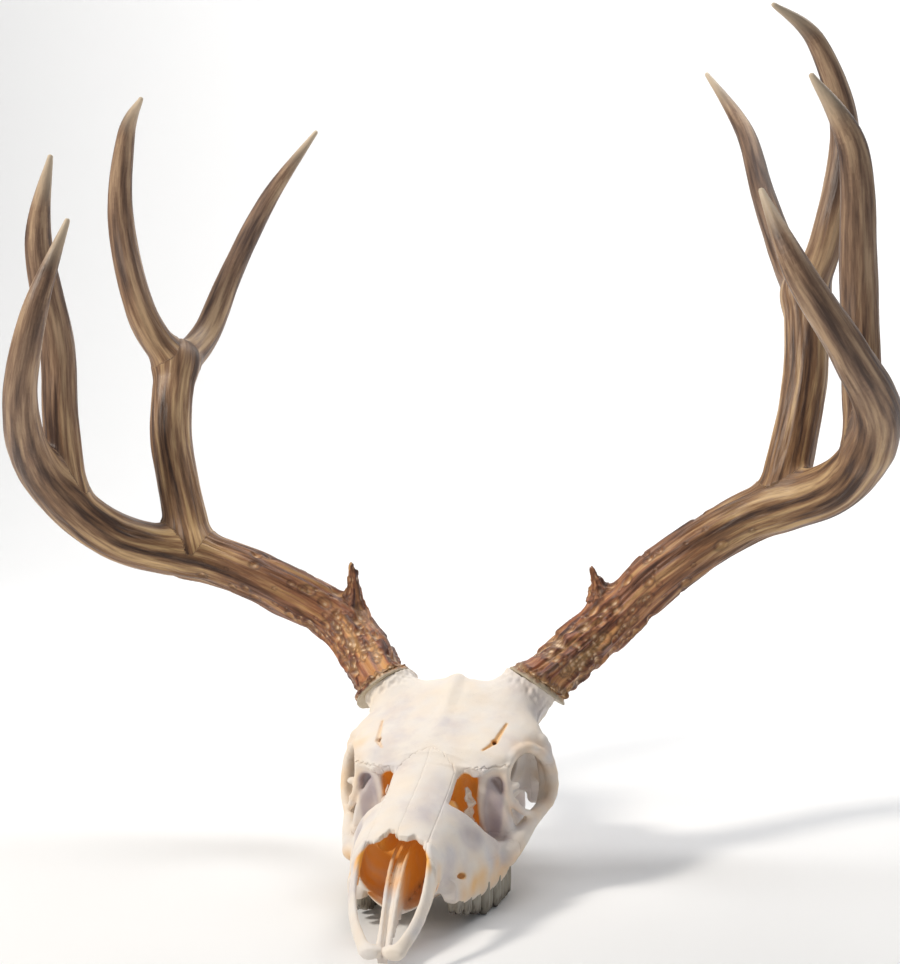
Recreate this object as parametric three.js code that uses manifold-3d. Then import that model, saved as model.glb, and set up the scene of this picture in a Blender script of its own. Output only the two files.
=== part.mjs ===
// A mule deer buck's skull with both antlers, four points and a brow tine on each side.
// Millimetres. The nose points to -Y, the animal's left is +X and +Z is up. The skull is laid out
// from the midline, the nose tip and the plane that its cheek teeth stand on, and the finished group
// is shifted so that the middle of its footprint is the origin.
import * as THREE from 'three';
import { mergeVertices } from 'three/addons/utils/BufferGeometryUtils.js';
import Module from 'manifold-3d';

const wasm = await Module();
wasm.setup();

// ---- driving dimensions ----
const SEAM = 0.3;                 // gap left along every suture and fork
const HALF_SEAM = SEAM / 2;
const SEAM_STEP = SEAM / 55;       // the same gap counted in antler stations, about 55 mm apart
const ROUNDNESS = { vault: 2.4, face: 2 };   // powers of the superellipses that the sections follow
const ORBIT = { x: 59.5, y: 181.5, z: 71, radius: 21.5, rim: 3.6, turn: 0.38, lean: 0.2 };
const TOOTH_ROW = { front: 88, back: 172, frontX: 31.5, backX: 41, count: 6, crown: 17, curve: 9 };
const BURR = { radius: 24, thickness: 9, facing: [0.56, 0.33, 0.76] };
const PEDICLE = { length: 34, radius: 16 };
const FINEST = 0.12;               // details smaller than this are left out of a solid
const NOSE_BEND = { from: 85, reach: 82, aside: 10.5, power: 1.3 };   // the snout bends to the left
const ANTLER_LEAN = { degrees: 3, height: 93.4 };                     // the pair leans to the right
const FORAMEN = { radius: 9.5, z: 61, depth: 24 };
const TUBE_SIDES = 8;
const BODY_SIDES = 12;

// The braincase and the forehead above it: y, half width, top, bottom, height of the widest place.
const VAULT = [
  [158, 30, 93, 40, 66],
  [174, 28, 101, 38, 68],
  [188, 26, 107, 36, 74],
  [204, 32, 114, 34, 78],
  [218, 39, 122, 34, 78],
  [232, 43, 126, 35, 76],
  [250, 43, 117, 36, 72],
  [268, 39, 104, 38, 68],
  [282, 32, 94, 40, 64],
  [290, 21, 85, 47, 62],
];

// The face from the front of the nose to the cheeks, in the same columns.
const MUZZLE = [
  [64, 26, 60, 15, 43],
  [76, 28, 62, 14, 44],
  [90, 32, 67, 13, 41],
  [110, 38, 74, 13, 36],
  [130, 44, 81, 13, 34],
  [148, 50, 89, 14, 36],
  [161, 53, 94, 18, 40],
  [173, 48, 95, 26, 46],
];

// The shelf of the frontal bone that roofs the orbits.
const ORBIT_ROOF = [
  [150, 37, 90, 78, 84],
  [163, 49, 96, 80, 87],
  [180, 55, 103, 82, 90],
  [195, 61, 109, 82, 90],
  [204, 65, 113, 82, 90],
  [216, 57, 119, 92, 100],
  [232, 43, 125, 100, 112],
];

// The nasal cavity, open at the front under the nasal bones.
const NASAL_CAVITY = [
  [58, 23, 55, 17, 43],
  [76, 25, 58, 17, 44],
  [90, 28, 63, 17, 41],
  [110, 33, 70, 18, 38],
  [132, 36, 77, 22, 42],
  [156, 26, 85, 42, 62],
];

// The bone that the cheek teeth stand in: y, x, z, half thickness, half height.
const TOOTH_BED = [
  [86, 31, 23, 5.5, 9],
  [110, 35.5, 22, 8, 11],
  [142, 41, 25, 9.5, 13],
  [174, 40, 28, 8, 12],
];

// Premaxilla blade: y, x, z, half thickness, half height.
const PREMAXILLA = [
  [4, 7, 11, 6, 4],
  [18, 15, 17, 4.5, 5],
  [34, 20, 26, 4, 6],
  [50, 23, 34.5, 3.2, 8.5],
  [63.7, 23.5, 42, 3, 10.5],
];

// Antler stations: x, y, z, radius, then how much the right antler's station lies nearer the
// midline and how much higher it stands.
const BEAM = [
  [53, 243, 117, 19.5, 1, 2],
  [96, 295, 150, 18.5, 3, 4],
  [141, 299, 187, 18, 2, -3],
  [196, 303, 217, 17.8, 1, -9],
  [260, 278, 239, 17.3, 2, -7],
  [288, 231, 282, 15.5, 3, 0],
  [276, 182, 326, 12, 4, 5],
  [251, 159, 377, 9, 6, 13],
  [231, 178, 427, 2.2, 8, 24],
];
const BROW_TINE = [
  [93, 294, 152, 9, 5, 3],
  [90, 298, 172, 7.5, 4, 6],
  [87, 295, 187, 5.5, 2, 11],
];
const REAR_STEM = [
  [218, 299, 227, 15.5, 12, -12],
  [237, 326, 305, 15, 11, -11],
  [239, 355, 365, 15, 11, -13],
];
const REAR_OUTER_TINE = [
  [239, 353, 361, 12.5, 11, -13],
  [258, 339, 402, 11, 12, -11],
  [273, 348, 471, 9.8, 14, -10],
  [259, 342, 531, 6.6, 13, -10],
  [234, 319, 556, 2, 12, -13],
];
const REAR_INNER_TINE = [
  [239, 353, 360, 12, 11, -13],
  [226, 394, 382, 10.5, 8, -11],
  [209, 426, 433, 8.6, 8, -10],
  [194, 466, 487, 6.9, 13, -11],
  [166, 493, 535, 2, 18, -11],
];
const FRONT_TINE = [
  [279, 251, 264, 13, 2, 3],
  [279, 251, 322, 12.5, 2, -2],
  [281, 257, 379, 12.3, 4, -6],
  [283, 242, 451, 9.5, 7, -7],
  [262, 227, 497, 2.2, 8, 2],
];
const REAR_FORK_AT = 3.62;        // beam stations where the beam is parted past each fork
const FRONT_FORK_AT = 5.1;

// ---- materials ----
const bone = new THREE.MeshStandardMaterial({ color: '#e8dccb', roughness: 0.6, metalness: 0 });
const toothBone = new THREE.MeshStandardMaterial({ color: '#ded2c0', roughness: 0.5, metalness: 0 });
const antlerRoot = new THREE.MeshStandardMaterial({ color: '#7d5238', roughness: 0.7, metalness: 0 });
const antlerBeam = new THREE.MeshStandardMaterial({ color: '#86664a', roughness: 0.6, metalness: 0 });
const antlerTine = new THREE.MeshStandardMaterial({ color: '#8f7258', roughness: 0.5, metalness: 0 });

// ---- solids from geometry and back ----
function bare(geometry) {
  geometry.deleteAttribute('normal');
  geometry.deleteAttribute('uv');
  return mergeVertices(geometry, 1e-4);
}

function signedVolume(geometry) {
  const position = geometry.attributes.position;
  const index = geometry.index.array;
  const corner = [0, 1, 2].map(() => new THREE.Vector3());
  let volume = 0;
  for (let i = 0; i < index.length; i += 3) {
    corner.forEach((point, k) => point.fromBufferAttribute(position, index[i + k]));
    volume += corner[0].dot(corner[1].cross(corner[2])) / 6;
  }
  return volume;
}

function facedOut(geometry) {
  if (signedVolume(geometry) > 0) return geometry;
  const index = geometry.index.array;
  for (let i = 0; i < index.length; i += 3) {
    [index[i], index[i + 1]] = [index[i + 1], index[i]];
  }
  return geometry;
}

function solid(geometry) {
  const shape = facedOut(geometry);
  return new wasm.Manifold(new wasm.Mesh({
    numProp: 3,
    vertProperties: new Float32Array(shape.attributes.position.array),
    triVerts: new Uint32Array(shape.index.array),
  }));
}

function surface(body) {
  const mesh = body.simplify(FINEST).getMesh();
  const geometry = new THREE.BufferGeometry();
  geometry.setAttribute('position', new THREE.BufferAttribute(mesh.vertProperties, 3));
  geometry.setIndex(new THREE.BufferAttribute(mesh.triVerts, 1));
  return geometry;
}

function joined(bodies) {
  return bodies.reduce((sum, body) => sum.add(body));
}

function without(body, cuts) {
  return cuts.reduce((rest, cut) => rest.subtract(cut), body);
}

// ---- basic forms ----
// A closed skin: a unit cylinder whose vertices are moved by place(along, angle, reach).
function skin(sides, steps, place) {
  const geometry = bare(new THREE.CylinderGeometry(1, 1, 1, sides, steps));
  const position = geometry.attributes.position;
  for (let i = 0; i < position.count; i += 1) {
    const along = 0.5 - position.getY(i);
    const reach = Math.hypot(position.getX(i), position.getZ(i));
    const angle = Math.atan2(position.getZ(i), position.getX(i));
    const point = place(along, angle, reach);
    position.setXYZ(i, point.x, point.y, point.z);
  }
  return solid(geometry);
}

// The snout's bend to the left, more towards the nose tip.
function bentAside(body) {
  return body.warp((point) => {
    const share = Math.max(0, NOSE_BEND.from - point[1]) / NOSE_BEND.reach;
    point[0] += NOSE_BEND.aside * share ** NOSE_BEND.power;
  });
}

// Smooth values between rows of a table, for a place counted in rows.
function blended(rows, place) {
  const last = rows.length - 1;
  const row = Math.min(Math.floor(place), last - 1);
  const share = place - row;
  const before = rows[Math.max(row - 1, 0)];
  const after = rows[Math.min(row + 2, last)];
  return rows[row].map((value, k) => {
    const next = rows[row + 1][k];
    const rise = (next - before[k]) / 2;
    const fall = (after[k] - value) / 2;
    const s2 = share * share;
    const s3 = s2 * share;
    return (2 * s3 - 3 * s2 + 1) * value + (s3 - 2 * s2 + share) * rise
      + (3 * s2 - 2 * s3) * next + (s3 - s2) * fall;
  });
}

function power(value, roundness) {
  return Math.sign(value) * Math.abs(value) ** (2 / roundness);
}

// A body on the midline, from rows of y, half width, top, bottom and widest height.
function midlineBody(rows, sides = BODY_SIDES, roundness = ROUNDNESS.vault) {
  const spans = rows.length - 1;
  return skin(sides, spans, (along, angle, reach) => {
    const [y, halfWidth, top, bottom, widest] = blended(rows, along * spans);
    const up = power(Math.sin(angle), roundness) * reach;
    const height = up > 0 ? top - widest : widest - bottom;
    const across = power(Math.cos(angle), roundness) * reach * halfWidth;
    return new THREE.Vector3(across, y, widest + up * height);
  });
}

// A blade beside the midline, from rows of y, x, z, half thickness and half height.
function blade(rows, side) {
  const spans = rows.length - 1;
  return skin(7, spans, (along, angle, reach) => {
    const [y, x, z, thick, high] = blended(rows, along * spans);
    const across = x + Math.cos(angle) * reach * thick;
    return new THREE.Vector3(side * across, y, z + Math.sin(angle) * reach * high);
  });
}

// A tapered tube through stations of x, y, z and radius, between two places counted in stations.
function tube(stations, options = {}) {
  const { from = 0, to = stations.length - 1, grow = 0, stepsPerRow = 2, sides = TUBE_SIDES } = options;
  const nudge = 0.01;
  const sideways = new THREE.Vector3(0, 1, 0);
  const steps = Math.max(2, Math.round((to - from) * stepsPerRow));
  return skin(sides, steps, (along, angle, reach) => {
    const place = from + (to - from) * along;
    const [x, y, z, radius] = blended(stations, place);
    const behind = new THREE.Vector3(...blended(stations, Math.max(place - nudge, 0)));
    const ahead = new THREE.Vector3(...blended(stations, Math.min(place + nudge, stations.length - 1)));
    const heading = ahead.sub(behind).normalize();
    const across = heading.clone().cross(sideways).normalize();
    const over = heading.clone().cross(across);
    return new THREE.Vector3(x, y, z)
      .addScaledVector(across, Math.cos(angle) * reach * (radius + grow))
      .addScaledVector(over, Math.sin(angle) * reach * (radius + grow));
  });
}

function ellipsoid(center, halfSize, widthSegments = 8, heightSegments = 5) {
  const geometry = new THREE.SphereGeometry(1, widthSegments, heightSegments);
  geometry.scale(...halfSize);
  geometry.translate(...center);
  return solid(bare(geometry));
}

function box(low, high) {
  const size = high.map((value, k) => value - low[k]);
  const geometry = new THREE.BoxGeometry(...size);
  geometry.translate(...low.map((value, k) => value + size[k] / 2));
  return solid(bare(geometry));
}

// An outline of (y, z) points pushed outwards by a distance; the points run anticlockwise.
function widened(outline, distance) {
  const points = outline.map(([y, z]) => new THREE.Vector2(y, z));
  return points.map((point, i) => {
    const before = points.at(i - 1);
    const after = points[(i + 1) % points.length];
    const edgeIn = point.clone().sub(before).normalize();
    const edgeOut = after.clone().sub(point).normalize();
    const normal = new THREE.Vector2(edgeIn.y + edgeOut.y, -edgeIn.x - edgeOut.x).normalize();
    const stretch = distance / Math.max(0.3, normal.x * edgeIn.y - normal.y * edgeIn.x);
    return [point.x + normal.x * stretch, point.y + normal.y * stretch];
  });
}

// A slab whose side view is an outline of (y, z) points, between two x values.
function slab(outline, x0, x1, grow = 0) {
  const points = widened(outline, grow).map(([y, z]) => new THREE.Vector2(y, z));
  const geometry = new THREE.ExtrudeGeometry(new THREE.Shape(points), {
    depth: x1 - x0 + 2 * grow,
    bevelEnabled: false,
  });
  const turn = new THREE.Matrix4().makeBasis(
    new THREE.Vector3(0, 1, 0),
    new THREE.Vector3(0, 0, 1),
    new THREE.Vector3(1, 0, 0),
  );
  geometry.applyMatrix4(turn);
  geometry.translate(x0 - grow, 0, 0);
  return solid(bare(geometry));
}

// The same slab on the animal's left (side 1) or right (side -1).
function sideSlab(outline, inner, outer, side, grow = 0) {
  return side > 0 ? slab(outline, inner, outer, grow) : slab(outline, -outer, -inner, grow);
}

// A direction or place turned about the line of the nose by the antlers' lean.
function leaned(x, y, z) {
  const turn = THREE.MathUtils.degToRad(ANTLER_LEAN.degrees);
  return new THREE.Vector3(x, y, z).applyAxisAngle(new THREE.Vector3(0, -1, 0), turn);
}

// An antler's stations on the animal's left (side 1) or right (side -1).
function stationsOn(side, rows) {
  return rows.map(([x, y, z, radius, inward, lift]) => {
    const place = side > 0 ? [x, y, z] : [inward - x, y, z + lift];
    const point = leaned(place[0], place[1], place[2] - ANTLER_LEAN.height);
    return [point.x, point.y, point.z + ANTLER_LEAN.height, radius];
  });
}

// Rows of a tube along a pedicle or burr: pairs of a distance past the burr's underside and a radius.
function alongBurr(side, pairs) {
  const [x, y, z] = stationsOn(side, BEAM)[0];
  const facing = leaned(side * BURR.facing[0], BURR.facing[1], BURR.facing[2]).normalize();
  return pairs.map(([distance, radius]) => {
    const point = new THREE.Vector3(x, y, z).addScaledVector(facing, distance);
    return [point.x, point.y, point.z, radius];
  });
}

// ---- the skull's bones as one body ----
function orbitRim(side) {
  const geometry = new THREE.TorusGeometry(ORBIT.radius, ORBIT.rim, 4, 12);
  geometry.rotateY(Math.PI / 2 - ORBIT.lean);
  geometry.rotateZ(-ORBIT.turn);
  geometry.translate(ORBIT.x, ORBIT.y, ORBIT.z);
  if (side < 0) geometry.scale(-1, 1, 1);
  return solid(bare(geometry));
}

function orbitSocket(side) {
  const reachIn = 34;
  return ellipsoid([side * (ORBIT.x + 5), ORBIT.y, ORBIT.z], [reachIn, ORBIT.radius - 1, ORBIT.radius - 2]);
}

// The upright plate in front of the orbit, and the tear pit hollowed in its face.
function tearPlate(side) {
  const plate = blade([[155.5, 41.5, 61, 9, 25], [160, 42, 61, 10.5, 26], [168, 42, 62, 10, 22]], side);
  return plate.subtract(ellipsoid([side * 41, 154, 61], [5.5, 6, 18], 6, 4));
}

function zygomaticArch(side) {
  return tube([
    [side * 46, 140, 28, 8],
    [side * 54, 160, 38, 7.5],
    [side * 60, 178, 46, 6],
    [side * 64, 195, 52, 5.5],
    [side * 63, 214, 57, 5],
    [side * 56, 234, 62, 5.5],
    [side * 42, 250, 66, 8],
  ], { stepsPerRow: 1, sides: 6 });
}

function postorbitalBar(side) {
  const rows = [[side * 61, 202, 92, 6], [side * 66, 204, 74, 5.5], [side * 64, 203, 54, 5]];
  return tube(rows, { stepsPerRow: 1, sides: 5 });
}

// The squamous root that carries the back end of the arch.
function archRoot(side) {
  return ellipsoid([side * 40, 247, 62], [12, 11, 15], 7, 4);
}

function pedicle(side) {
  const rows = alongBurr(side, [
    [-PEDICLE.length, PEDICLE.radius + 4],
    [-PEDICLE.length / 2, PEDICLE.radius],
    [-SEAM, PEDICLE.radius + 1],
  ]);
  return tube(rows, { stepsPerRow: 1, sides: 8 });
}

function vacuity(side) {
  const outline = [[113, 71], [134, 49], [146, 41], [155, 40], [155, 84], [144, 87], [122, 77]];
  return sideSlab(outline, 20.5, 60, side);
}

function earCapsule(side) {
  const bulla = ellipsoid([side * 23, 246, 36], [9, 13, 9], 7, 4);
  const rows = [[side * 24, 246, 42, 6], [side * 32, 250, 50, 5.5], [side * 42, 251, 57, 5]];
  const earTube = tube(rows, { sides: 5, stepsPerRow: 1 });
  return bulla.add(earTube);
}

function paroccipital(side) {
  const rows = [[side * 28, 272, 56, 9], [side * 30, 271, 30, 6], [side * 29, 268, 0, 2.8]];
  return tube(rows, { sides: 5, stepsPerRow: 1 });
}

function condyle(side) {
  return ellipsoid([side * 15, 283, 50], [9, 9, 12], 7, 4);
}

function foramen() {
  const hole = new THREE.CylinderGeometry(FORAMEN.radius, FORAMEN.radius, 2 * FORAMEN.depth, 8);
  hole.translate(0, 289, FORAMEN.z);
  return solid(bare(hole));
}

function tooth(side, number) {
  const share = (number + 0.5) / TOOTH_ROW.count;
  const length = (TOOTH_ROW.back - TOOTH_ROW.front) / TOOTH_ROW.count;
  const y = TOOTH_ROW.front + (TOOTH_ROW.back - TOOTH_ROW.front) * share;
  const x = TOOTH_ROW.frontX + (TOOTH_ROW.backX - TOOTH_ROW.frontX) * Math.sin(share * Math.PI * 0.6);
  const lift = TOOTH_ROW.curve * Math.max(0, 1 - share * 2.2);
  const lobes = number < 3 ? 1 : 2;
  const parts = [];
  for (let lobe = 0; lobe < lobes; lobe += 1) {
    const lobeLength = (length - 0.8) / lobes;
    const crown = new THREE.CylinderGeometry(0.72, 0.58, TOOTH_ROW.crown, 5, 1);
    crown.rotateX(Math.PI / 2);
    crown.scale(11.5, lobeLength * 0.86, 1);
    const along = (lobe + 0.5) * lobeLength - (length - 0.8) / 2;
    crown.translate(side * x, y + along, TOOTH_ROW.crown / 2 + lift);
    parts.push(solid(bare(crown)));
  }
  return joined(parts);
}

function toothRow(side) {
  const teeth = [];
  for (let number = 0; number < TOOTH_ROW.count; number += 1) {
    teeth.push(tooth(side, number));
  }
  return joined(teeth);
}

// The slope that opens the nose in front of the nasal bones.
function aperture() {
  const front = [[50, 38], [60, 45], [74, 56], [74, 90], [50, 90]];
  return slab(front, -40, 40);
}

function bothSides(make) {
  return joined([make(1), make(-1)]);
}

function wholeSkull() {
  const forehead = midlineBody(ORBIT_ROOF);
  const ridgeRows = [[0, 178, 100, 3], [0, 206, 113, 3.5], [0, 232, 125, 4.5], [0, 262, 107, 3.5]];
  const midlineRidge = tube(ridgeRows, { sides: 5, stepsPerRow: 1 });
  const nuchalCrest = ellipsoid([0, 285, 84], [33, 5, 11], 7, 4);
  const skullBase = midlineBody([[196, 9, 44, 26, 34], [236, 12, 50, 31, 38], [284, 12, 54, 40, 46]], 8);
  const pterygoidRows = [[160, 13, 24, 2.5, 12], [184, 12, 28, 2.2, 12], [204, 11, 36, 2.2, 8]];
  const pterygoids = bothSides((side) => blade(pterygoidRows, side));
  const solids = [
    midlineBody(VAULT), forehead, midlineRidge, nuchalCrest, skullBase, pterygoids,
    bothSides(zygomaticArch), bothSides(archRoot), bothSides(pedicle), bothSides(earCapsule),
    bothSides(paroccipital), bothSides(condyle), bothSides(toothRow), bothSides((side) => blade(TOOTH_BED, side)),
  ];
  const face = midlineBody(MUZZLE, BODY_SIDES, ROUNDNESS.face);
  const cavity = midlineBody(NASAL_CAVITY, 10, ROUNDNESS.face);
  const belowFloor = box([-99, 0, -9], [99, 320, 0]);
  const cuts = [cavity, aperture(), foramen(), belowFloor, bothSides(vacuity)];
  const hollowed = without(joined([...solids, face]), cuts);
  const faced = hollowed.add(bothSides(tearPlate)).subtract(bothSides(orbitSocket));
  return faced.add(bothSides(orbitRim)).add(bothSides(postorbitalBar));
}

// ---- sutures: each bone is the part of the skull inside its own side-view outlines ----
const NASAL_OUTLINE = [[60, 44], [76, 52], [110, 62], [161, 82], [161, 110], [60, 90]];
const FRONTAL_MIDDLE = [[161, 82], [208, 84], [238, 104], [238, 150], [161, 150]];
const FRONTAL_SIDE = [[149, 85], [174, 85], [176, 81], [208, 81], [226, 96], [266, 100], [266, 150], [149, 150]];
const LACRIMAL_OUTLINE = [[150, 38], [160, 46], [173.5, 62], [173.5, 85], [150, 85]];
const ZYGOMATIC_OUTLINE = [[154, 26], [244, 42], [240, 70], [216, 86], [150, 85]];
const OCCIPITAL_OUTLINE = [
  [256, -5], [310, -5], [310, 120], [276, 120], [272, 70], [254, 60], [231, 50], [231, 20], [256, 20],
];
const BRAINCASE_OUTLINE = [[206, 44], [240, 30], [262, 30], [300, 60], [300, 160], [206, 160]];
const SPHENOID_OUTLINE = [[175, -5], [262, -5], [262, 160], [164, 160], [164, 60], [175, 30]];

function skullBones() {
  const pieces = {};
  let rest = wholeSkull();
  const take = (name, slabsFor) => {
    const region = joined(slabsFor(0));
    pieces[name] = rest.intersect(region);
    rest = rest.subtract(joined(slabsFor(SEAM)));
  };
  const eachSide = (name, outline, inner, outer) => {
    take(`left_${name}`, (grow) => [sideSlab(outline, inner, outer, 1, grow)]);
    take(`right_${name}`, (grow) => [sideSlab(outline, inner, outer, -1, grow)]);
  };
  eachSide('nasal', NASAL_OUTLINE, HALF_SEAM, 19);
  take('frontal', (grow) => [
    slab(FRONTAL_MIDDLE, -24, 24, grow),
    sideSlab(FRONTAL_SIDE, 20, 90, 1, grow),
    sideSlab(FRONTAL_SIDE, 20, 90, -1, grow),
  ]);
  eachSide('lacrimal', LACRIMAL_OUTLINE, 20, 90);
  eachSide('zygomatic', ZYGOMATIC_OUTLINE, 49, 90);
  take('occipital', (grow) => [slab(OCCIPITAL_OUTLINE, -60, 60, grow)]);
  take('braincase', (grow) => [slab(BRAINCASE_OUTLINE, -60, 60, grow)]);
  take('sphenoid', (grow) => [slab(SPHENOID_OUTLINE, -60, 60, grow)]);
  pieces.left_maxilla = rest.intersect(box([HALF_SEAM, 0, -9], [99, 320, 160]));
  pieces.right_maxilla = rest.intersect(box([-99, 0, -9], [-HALF_SEAM, 320, 160]));
  return pieces;
}

function premaxilla(side) {
  const tip = ellipsoid([side * 7, 9, 9.5], [8, 7, 5], 7, 4);
  const rodRows = [[side * 4, 8, 10, 2.6], [side * 3.2, 36, 14, 2.2], [side * 3.2, 63.6, 17, 2]];
  const rod = tube(rodRows, { sides: 5, stepsPerRow: 1 });
  const keep = side > 0 ? box([HALF_SEAM, 0, 0], [40, 63.7, 80]) : box([-40, 0, 0], [-HALF_SEAM, 63.7, 80]);
  return joined([blade(PREMAXILLA, side), tip, rod]).intersect(keep);
}

// ---- antlers ----
function burr(side) {
  const rows = alongBurr(side, [
    [0, BURR.radius - 3],
    [BURR.thickness * 0.4, BURR.radius],
    [BURR.thickness, BURR.radius - 4],
    [BURR.thickness * 2, BURR.radius - 8],
  ]);
  return tube(rows, { sides: 12, stepsPerRow: 1 });
}

// The part of a body on the antler's side of its burr's underside.
function aboveBurr(side, body) {
  const [base, ahead] = alongBurr(side, [[0, 0], [1, 0]]).map((row) => new THREE.Vector3(...row));
  const facing = ahead.sub(base);
  return body.trimByPlane(facing.toArray(), facing.dot(base));
}

// The beam in its three lengths: from the burr past the rear fork, on past the front fork, and the tip.
function beamLengths(beam, grow) {
  return [
    tube(beam, { to: REAR_FORK_AT, grow }),
    tube(beam, { from: REAR_FORK_AT + SEAM_STEP, to: FRONT_FORK_AT, grow }),
    tube(beam, { from: FRONT_FORK_AT + SEAM_STEP, grow }),
  ];
}

function antler(side) {
  const beam = stationsOn(side, BEAM);
  const stem = stationsOn(side, REAR_STEM);
  const outer = stationsOn(side, REAR_OUTER_TINE);
  const inner = stationsOn(side, REAR_INNER_TINE);
  const [root, middle, tip] = beamLengths(beam, 0);
  const wideBeam = beamLengths(beam, SEAM);
  const wideStem = tube(stem, { grow: SEAM });
  const wideOuter = tube(outer, { grow: SEAM });
  const browTine = tube(stationsOn(side, BROW_TINE), { sides: 7 });
  return {
    beam_root: [aboveBurr(side, root).add(burr(side)), antlerRoot],
    brow_tine: [without(browTine, wideBeam), antlerRoot],
    beam_middle: [middle, antlerBeam],
    beam_tip: [tip, antlerTine],
    front_tine: [without(tube(stationsOn(side, FRONT_TINE)), wideBeam), antlerTine],
    rear_stem: [without(tube(stem, { to: stem.length - 1 - SEAM_STEP }), wideBeam), antlerBeam],
    rear_outer_tine: [tube(outer).subtract(wideStem), antlerTine],
    rear_inner_tine: [without(tube(inner), [wideStem, wideOuter]), antlerTine],
  };
}

// ---- the group ----
function named(name, body, material) {
  const mesh = new THREE.Mesh(surface(body), material);
  mesh.name = name;
  return mesh;
}

const skull = new THREE.Group();
for (const [name, body] of Object.entries(skullBones())) {
  skull.add(named(name, bentAside(body), name.endsWith('maxilla') ? toothBone : bone));
}
skull.add(named('left_premaxilla', bentAside(premaxilla(1)), bone));
skull.add(named('right_premaxilla', bentAside(premaxilla(-1)), bone));

const antlers = new THREE.Group();
for (const [word, side] of [['left', 1], ['right', -1]]) {
  for (const [name, [body, material]] of Object.entries(antler(side))) {
    antlers.add(named(`${word}_${name}`, body, material));
  }
}

const head = new THREE.Group();
head.add(skull, antlers);
const bounds = new THREE.Box3().setFromObject(head);
const middle = bounds.getCenter(new THREE.Vector3());
head.position.set(-middle.x, -middle.y, -bounds.min.z);

const model = new THREE.Group();
model.add(head);
export default model;
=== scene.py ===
"""A mule deer buck's skull with both antlers, resting on its cheek teeth and the base of its skull.

Shapes are worked out in millimetres in the skull's own frame: x to the animal's left, y back from the
nose tip, z up from the plane that the cheek teeth stand on. Each shape is a field of distances whose
zero surface is meshed, and the finished mesh is moved to the frame's place in metres.
"""
import math
from functools import reduce
from itertools import product

import bpy
import numpy as np
import openvdb
from mathutils import Matrix, Vector


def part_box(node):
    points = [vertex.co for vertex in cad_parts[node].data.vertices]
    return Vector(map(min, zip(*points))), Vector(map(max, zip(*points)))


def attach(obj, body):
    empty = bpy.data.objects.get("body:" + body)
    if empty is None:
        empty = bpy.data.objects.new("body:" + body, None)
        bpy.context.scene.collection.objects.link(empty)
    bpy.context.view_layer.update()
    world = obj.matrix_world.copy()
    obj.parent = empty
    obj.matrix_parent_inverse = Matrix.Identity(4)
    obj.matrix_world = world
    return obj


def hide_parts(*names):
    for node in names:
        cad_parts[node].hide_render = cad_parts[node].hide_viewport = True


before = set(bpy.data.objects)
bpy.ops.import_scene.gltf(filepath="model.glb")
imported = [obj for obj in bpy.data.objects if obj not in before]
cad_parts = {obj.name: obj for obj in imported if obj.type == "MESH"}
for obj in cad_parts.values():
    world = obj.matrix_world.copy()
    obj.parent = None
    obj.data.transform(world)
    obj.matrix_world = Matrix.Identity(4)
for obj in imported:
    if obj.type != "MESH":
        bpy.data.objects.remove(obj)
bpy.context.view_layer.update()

MM = 0.001
SIDES = (("left", 1), ("right", -1))
BONE_VOXEL = 0.85
ANTLER_VOXEL = 1.0
TOOTH_VOXEL = 0.55
REACH = 3                         # how many voxels from a surface its distances are kept
SLAB = 12                         # how many voxels thick a grid is filled at a time

# The skull's own origin, found from two nodes of known place in it.
PREMAXILLA_END = 63.7
SHIFT = np.array([
    (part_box("sphenoid")[0][0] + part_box("sphenoid")[1][0]) / 2 / MM,
    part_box("left_premaxilla")[1][1] / MM - PREMAXILLA_END,
    0.0,
])

# ---- the camera, placed from the skull ----
CAMERA_PLACE = (333.9, -1045.9, 378.6)
CAMERA_TURN = 14.66               # degrees round from straight in front, towards the animal's left
CAMERA_RISE = 5.18                # degrees above level
CAMERA_ROLL = -1.8
FOCAL_PIXELS = 2000
LONG_SIDE_PIXELS = 964
SENSOR = 36.0

# ---- the antlers. Stations: x, y, z, radius, then how much nearer the midline and how much higher
# the right antler's station is ----
BEAM = [
    (53, 243, 117, 19, 1, 2), (96, 295, 150, 18.3, 3, 4), (141, 299, 187, 18, 2, -3),
    (196, 303, 217, 17.7, 1, -9), (260, 278, 239, 17.2, 2, -7), (288, 231, 282, 15.4, 3, 0),
    (276, 182, 326, 12, 4, 5), (251, 159, 377, 9, 6, 13), (231, 178, 427, 2.0, 8, 24),
]
BROW_TINE = [(93, 292, 152, 10, 5, 3), (90, 297, 172, 6.2, 4, 6), (87, 295, 187, 3.0, 2, 11)]
REAR_STEM = [(218, 299, 227, 16, 12, -12), (237, 326, 305, 15, 11, -11), (239, 355, 365, 15.5, 11, -13)]
REAR_OUTER_TINE = [
    (239, 353, 361, 13, 11, -13), (258, 339, 402, 11.3, 12, -11), (273, 348, 471, 9.8, 14, -10),
    (259, 342, 531, 6.6, 13, -10), (234, 319, 556, 1.8, 12, -13),
]
REAR_INNER_TINE = [
    (239, 353, 361, 13, 11, -13), (226, 394, 382, 10.8, 8, -11), (209, 426, 433, 8.7, 8, -10),
    (194, 466, 487, 6.9, 13, -11), (166, 493, 535, 1.8, 18, -11),
]
FRONT_TINE = [
    (279, 251, 264, 14, 2, 3), (279, 251, 322, 12.6, 2, -2), (281, 257, 379, 12.2, 4, -6),
    (283, 242, 451, 9.5, 7, -7), (262, 227, 497, 2.0, 8, 2),
]
BRANCHES = [BEAM, BROW_TINE, REAR_STEM, REAR_OUTER_TINE, REAR_INNER_TINE, FRONT_TINE]
AGE_START = np.array([0.0, 0.12, 0.40, 0.60, 0.60, 0.55])      # of each branch: 0 at the burr
AGE_END = np.array([1.0, 0.20, 0.62, 1.0, 1.0, 1.0])            # and 1 at a polished tip
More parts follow.
